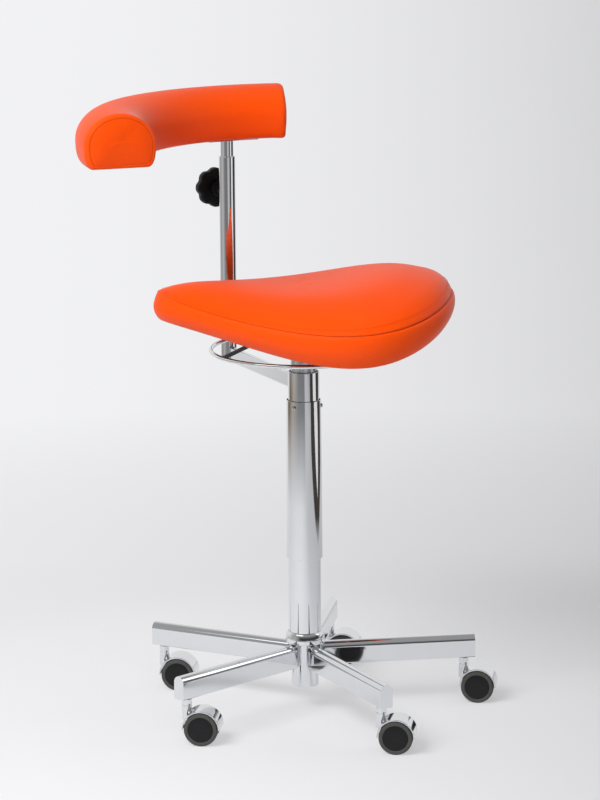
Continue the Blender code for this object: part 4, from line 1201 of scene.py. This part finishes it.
def makePad(size):
    section = padSection(size)
    start, end, steps = size["start"], size["end"], size["lengthSteps"]
    middle = size["height"] / 2
    perMetre = math.degrees(1 / size["reach"])

    def ring(degrees, inset):
        # the cover hangs a little below the board's level near the free ends
        nearest = min(degrees - start, end - degrees) / perMetre
        sag = size["endSag"] * max(0.0, 1 - max(0.0, nearest) / size["boardInset"]) ** 2
        points = []
        for offset, z in section:
            reach = size["reach"] + offset * (1 - inset / size["halfWidth"])
            height = size["foot"] + middle + (z - middle) * (1 - inset / middle)
            points.append(polar(reach, degrees, height - sag * (1 - z / size["height"])))
        return points

    # the rings of each end, as distance inside the end and distance in from the full section
    back, across, endRound = size["seamBack"], size["seamInset"], size["endRound"]
    ends = [(back - size["dome"] * bow, across + inset) for inset, bow in size["panel"]]
    seam = len(ends)
    ends += [(back + inward, across + inset) for inward, inset in size["welt"]]
    for turn in size["endTurns"]:
        a = math.radians(turn)
        ends.append((endRound * (1 - math.cos(a)) + back, across * (1 - math.sin(a))))
    rings = [ring(start + perMetre * inward, inset) for inward, inset in ends]
    first, last = start + perMetre * ends[-1][0], end - perMetre * ends[-1][0]
    rings += [ring(first + (last - first) * k / steps, 0.0) for k in range(1, steps)]
    rings += [ring(end - perMetre * inward, inset) for inward, inset in reversed(ends)]
    seams = (seam, len(rings) - 1 - seam)
    bm = coverOf(rings)
    ringOf = ringNumbers(bm)
    soleOf = [v.co.z < size["foot"] + size["soleRoom"] for v in bm.verts]
    piece = objectOf("support_pad_covered", bm, leatherette, crease=75.0)
    sewn = [sole or min(abs(place - s) for s in seams) <= 1 for place, sole in zip(ringOf, soleOf)]
    swelled(piece, sewn, size["swell"])
    # the end seams draw in and back, after the cover has swelled
    pullIn, pullBack = size["seamPull"]
    for vertex, place in zip(piece.data.vertices, ringOf):
        if place in seams:
            angle = math.degrees(math.atan2(vertex.co.y, vertex.co.x)) % 360
            inward = (polar(size["reach"], angle, size["foot"] + middle) - vertex.co).normalized()
            along = polar(1.0, angle + (90 if place == seam else -90))
            vertex.co += (inward * pullIn + along * pullBack) * size["seamGroove"]
    seamed(piece, ringOf, seams, size["seamShade"], size["foot"] + size["seamFoot"])
    fitted(piece, "support", "leatherette", "support_pad", weighted=False)


makePad(padSize)
print("support pad made")


# The rest of the solids show from below and keep their own shapes

plainNodes = [
    (plated, ("seat_tray", *[f"seat_bolt_{k}" for k in range(1, 5)], "snap_ring", "rod_clip")),
    (steel, ("lever_pivot", "valve_pin", "gas_cylinder", "piston_rod", "thrust_washer")),
    (bushWhite, ("guide_bush", "arm_bush")),
    (plywood, ("seat_board", "support_board")),
]
for plainFinish, nodeNames in plainNodes:
    for nodeName in nodeNames:
        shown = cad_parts[nodeName]
        shown.data.materials.clear()
        shown.data.materials.append(plainFinish.material)
print("plain solids finished")


# Studio: pale floor that glows with painted light and shade, soft lamps, glowing cards that paint the room's
# reflections into the chrome, camera

# The paper's glow is painted light: brighter on the left, most of all near the stool, and darker to the
# right; fade is painted shade in front of and beside the stool
studio = {
    "radius": 40.0, "paper": (0.852, 0.852, 0.869),
    "left": (0.890, 0.890, 0.907), "right": (0.655, 0.655, 0.675),
    "nearLeft": (0.975, 0.975, 0.990), "nearRight": (0.650, 0.650, 0.668),
    "fan": 6.5, "spread": 0.085, "leaning": 1.8, "calm": (-1.2, -3.0), "nearGlow": 0.52, "glow": (0.7, 2.2),
    "fade": 0.165, "shadeReach": (0.58, 1.10), "shadeAhead": (0.90, 0.30),
}


def makeFloor(size):
    bm = bmesh.new()
    bmesh.ops.create_circle(bm, cap_ends=True, segments=96, radius=size["radius"])
    paper = Finish("studio_paper", Base_Color=size["paper"], Roughness=0.9, Specular_IOR_Level=0.1)
    x = paper.node("SeparateXYZ", None, {0: paper.place})
    y = x.also(1)
    # painted light: the glow falls off from left to right across share
    share = paper.between(x / (y + size["fan"]), 0.0, 1.0, -size["spread"], size["spread"])
    share = share + (0.5 - share) * paper.between(y, 0.0, 1.0, *size["calm"])
    reach = paper.reach()
    far = paper.between(reach, 0.0, 1.0, *size["glow"])
    close = paper.mixed(share ** size["leaning"], size["nearLeft"], size["nearRight"])
    distant = paper.mixed(share ** size["leaning"], size["left"], size["right"])
    # painted shade: the paper darkens in front of and beside the stool, from about 0.6 m out
    ahead = paper.between(y, 0.0, 1.0, *size["shadeAhead"])
    paintedShade = paper.between(reach, 0.0, 1.0, *size["shadeReach"]) * ahead * size["fade"]
    tone = paper.mixed(paintedShade, paper.mixed(far, close, distant), (0.0, 0.0, 0.0))
    lit = Wire(paper.tree, paper.shader.outputs[0])
    weight = paper.rayMask() * paper.between(far, size["nearGlow"], 1.0)
    shown = paper.blended(weight, lit, paper.glowing(tone))
    under = paper.node("NewGeometry", out="Backfacing")  # clear from below
    paper.shows(paper.blended(under, shown, paper.node("BsdfTransparent")))
    objectOf("studio_floor", bm, paper)


# shown is how bright the lamp's cloth looks in the chrome
lamps = {
    "key": {
        "at": (-1.42, -1.60, 2.32), "aim": (0.0, 0.0, 0.50), "size": (2.1, 1.0), "watts": 78.0, "shown": 1.7,
    },
    "front": {
        "at": (0.40, -2.55, 2.00), "aim": (0.0, 0.0, 0.60), "size": (1.4, 1.0), "watts": 12.0, "shown": 0.0,
    },
    "top": {
        "at": (0.2, 0.5, 3.0), "aim": (0.0, 0.1, 0.4), "size": (1.5, 1.0), "watts": 8.0, "shown": 0.0,
    },
    "fill": {
        "at": (2.3, 0.15, 1.60), "aim": (0.0, 0.0, 0.45), "size": (0.6, 1.2), "watts": 7.0, "shown": 2.0,
    },
}


def hideFromAllButMirrors(piece):
    piece.visible_camera = False
    piece.visible_diffuse = False
    piece.visible_shadow = False
    piece.visible_volume_scatter = False


def makeDiffuser(name, facts, turn):
    # the lamp's white cloth, as polished surfaces show it
    cloth = Finish(name + "_diffuser_cloth")
    cloth.shows(cloth.glowing((1.0, 1.0, 1.0), facts["shown"]))
    bm = bmesh.new()
    bmesh.ops.create_grid(bm, x_segments=1, y_segments=1, size=0.5)
    bmesh.ops.scale(bm, vec=(*facts["size"], 1.0), verts=bm.verts)
    turnedBy(bm, Matrix.Translation(facts["at"]) @ turn.to_matrix().to_4x4())
    hideFromAllButMirrors(objectOf(name + "_diffuser", bm, cloth))


def makeLamps(setup):
    for name, facts in setup.items():
        lamp = bpy.data.lights.new(name + "_softbox", "AREA")
        lamp.shape = "RECTANGLE"
        lamp.size, lamp.size_y = facts["size"]
        lamp.energy = facts["watts"]
        holder = bpy.data.objects.new(name + "_softbox", lamp)
        holder.location = facts["at"]
        beam = Vector(facts["aim"]) - Vector(facts["at"])
        holder.rotation_euler = beam.to_track_quat("-Z", "Y").to_euler()
        holder.visible_glossy = False
        scene.collection.objects.link(holder)
        if facts["shown"]:
            makeDiffuser(name, facts, holder.rotation_euler)


# Glowing cards round the paper, seen in the chrome alone, paint the room's reflections: turns are measured
# from the camera, to its right

surround = {
    "turns": (-164, 46), "steps": 30, "inner": 1.30, "outer": 12.0, "height": 0.0020,
    "fade": (1.35, 2.30), "change": (2.2, 3.0),
    "near": [
        (-134, (0.80, 0.80, 0.80)), (-122, (0.17, 0.11, 0.06)), (-110, (0.15, 0.09, 0.04)),
        (-80, (0.42, 0.37, 0.30)), (-55, (0.34, 0.32, 0.30)), (-38, (0.25, 0.25, 0.25)),
        (0, (0.23, 0.23, 0.24)), (6, (0.24, 0.24, 0.25)), (10, (0.56, 0.56, 0.57)),
        (35, (0.58, 0.58, 0.59)), (44, (0.44, 0.44, 0.45)),
    ],
    "far": [
        (-134, (0.80, 0.80, 0.80)), (-122, (0.45, 0.44, 0.43)), (-105, (0.36, 0.35, 0.34)),
        (-70, (0.55, 0.54, 0.53)), (-50, (0.36, 0.35, 0.34)), (-35, (0.22, 0.21, 0.21)),
        (3, (0.20, 0.20, 0.21)), (9, (0.56, 0.56, 0.57)), (20, (0.60, 0.60, 0.61)), (44, (0.22, 0.22, 0.22)),
    ],
}

# Two more glowing cards over it paint a dark and a white reflection, as (turn, distance) outlines
cards = {
    "dark_flag": {
        "outline": [
            (98, 1.02), (118, 1.36), (132, 1.75), (138, 9.0), (90, 9.0), (44, 9.0), (48, 1.90), (64, 1.42),
            (84, 1.13),
        ],
        "colour": (0.055, 0.047, 0.041), "fade": (1.02, 1.25), "height": 0.0024,
    },
    "white_strip": {
        "outline": [
            (97, 1.42), (103, 1.74), (104, 2.05), (97, 2.6), (86, 9.0), (58, 9.0), (70, 2.6), (76, 2.0),
            (86, 1.63),
        ],
        "colour": (0.84, 0.84, 0.85), "fade": (1.30, 1.40), "height": 0.0026,
    },
}


def laidOut(name, outline, facts, colouring):
    bm = bmesh.new()
    bm.faces.new([bm.verts.new(polar(reach, turn - 90.0, facts["height"])) for turn, reach in outline])
    bmesh.ops.triangulate(bm, faces=bm.faces)
    card = Finish(name + "_card")
    reach = card.reach()
    glow = card.glowing(colouring(card, reach))
    seen = card.between(reach, 0.0, 1.0, *facts["fade"])
    card.shows(card.blended(seen, card.node("BsdfTransparent"), glow))
    hideFromAllButMirrors(objectOf(name, bm, card))


def makeSurround(facts):
    first, last = facts["turns"]
    sweep = [first + (last - first) * i / facts["steps"] for i in range(facts["steps"] + 1)]
    outline = [(turn, facts["inner"]) for turn in sweep]
    outline += [(turn, facts["outer"]) for turn in reversed(sweep)]

    def colouring(card, reach):
        turned = card.mapped(Rotation=(0, 0, math.pi / 2))
        around = card.node("TexGradient", {"gradient_type": "RADIAL"}, {"Vector": turned}, out="Fac")
        shades = []
        for name in ("near", "far"):
            stops = [(turn / 360 + 0.5, colour) for turn, colour in facts[name]]
            shades.append(card.node("ValToRGB", {"stops": stops}, {"Fac": around}))
        return card.mixed(card.between(reach, 0.0, 1.0, *facts["change"]), *shades)

    laidOut("room_surround", outline, facts, colouring)


def makeCards(setup):
    for name, facts in setup.items():
        laidOut(name, facts["outline"], facts, lambda card, reach: facts["colour"])


room = {
    "ambient": 0.14, "pale": 0.82, "dark": 0.050, "overhead": 0.34, "side": 0.42, "behind": (-0.10, 0.35),
    "height": (0.60, 0.92), "ceiling": (0.20, 0.60), "left": (-0.45, -0.85),
}


def makeWorld(facts):
    # Polished surfaces see a dark room with a pale wall behind; soft light comes evenly from all round
    world = bpy.data.worlds.new("studio_room")
    world.use_nodes = True
    sky = Recipe(world.node_tree)
    shades = ("ambient", "pale", "dark", "overhead", "side")
    ambient, pale, dark, overhead, side = ((facts[shade],) * 3 for shade in shades)
    x = sky.node("SeparateXYZ", None, {0: sky.node("TexCoord", out="Generated")})
    behind = sky.between(x.also(1), 0.0, 1.0, *facts["behind"])
    low = sky.between(x.also(2), 1.0, 0.0, *facts["height"])
    walls = sky.mixed(sky.between(x.also(2), 0.0, 1.0, *facts["ceiling"]), dark, overhead)
    walls = sky.mixed(sky.between(x, 0.0, 1.0, *facts["left"]), walls, side)
    mirrored = sky.mixed(behind * low, walls, pale)
    rays = sky.node("LightPath", out="Is Glossy Ray")
    light = sky.mixed(rays, ambient, mirrored)
    light = sky.mixed(rays.also("Is Camera Ray"), light, pale)
    join(sky.tree, sky.tree.nodes["Background"].inputs[0], light)
    scene.world = world


cameraFacts = {
    "distance": 4.9424, "height": 1.5137, "pitch": 0.2068, "yaw": -0.0011, "roll": -0.0062,
    "focalPixels": 3389.04, "framePixels": 800, "sensor": 36.0, "farthest": 60.0,
}


def makeCamera(facts):
    pitch, yaw, roll = facts["pitch"], facts["yaw"], facts["roll"]
    ahead = Vector((math.sin(yaw) * math.cos(pitch), math.cos(yaw) * math.cos(pitch), -math.sin(pitch)))
    right = ahead.cross(Vector((0, 0, 1))).normalized()
    up = right.cross(ahead)
    tiltedRight = right * math.cos(roll) + up * math.sin(roll)
    tiltedUp = up * math.cos(roll) - right * math.sin(roll)
    view = bpy.data.cameras.new("camera")
    view.sensor_width = facts["sensor"]
    view.lens = facts["focalPixels"] / facts["framePixels"] * view.sensor_width
    view.clip_end = facts["farthest"]
    holder = bpy.data.objects.new("camera", view)
    turn = Matrix((tiltedRight, tiltedUp, -ahead)).transposed().to_4x4()
    holder.matrix_world = Matrix.Translation((0, -facts["distance"], facts["height"])) @ turn
    scene.collection.objects.link(holder)
    scene.camera = holder


makeFloor(studio)
makeLamps(lamps)
makeSurround(surround)
makeCards(cards)
makeWorld(room)
makeCamera(cameraFacts)
scene.view_settings.view_transform = "Standard"
print("studio set")
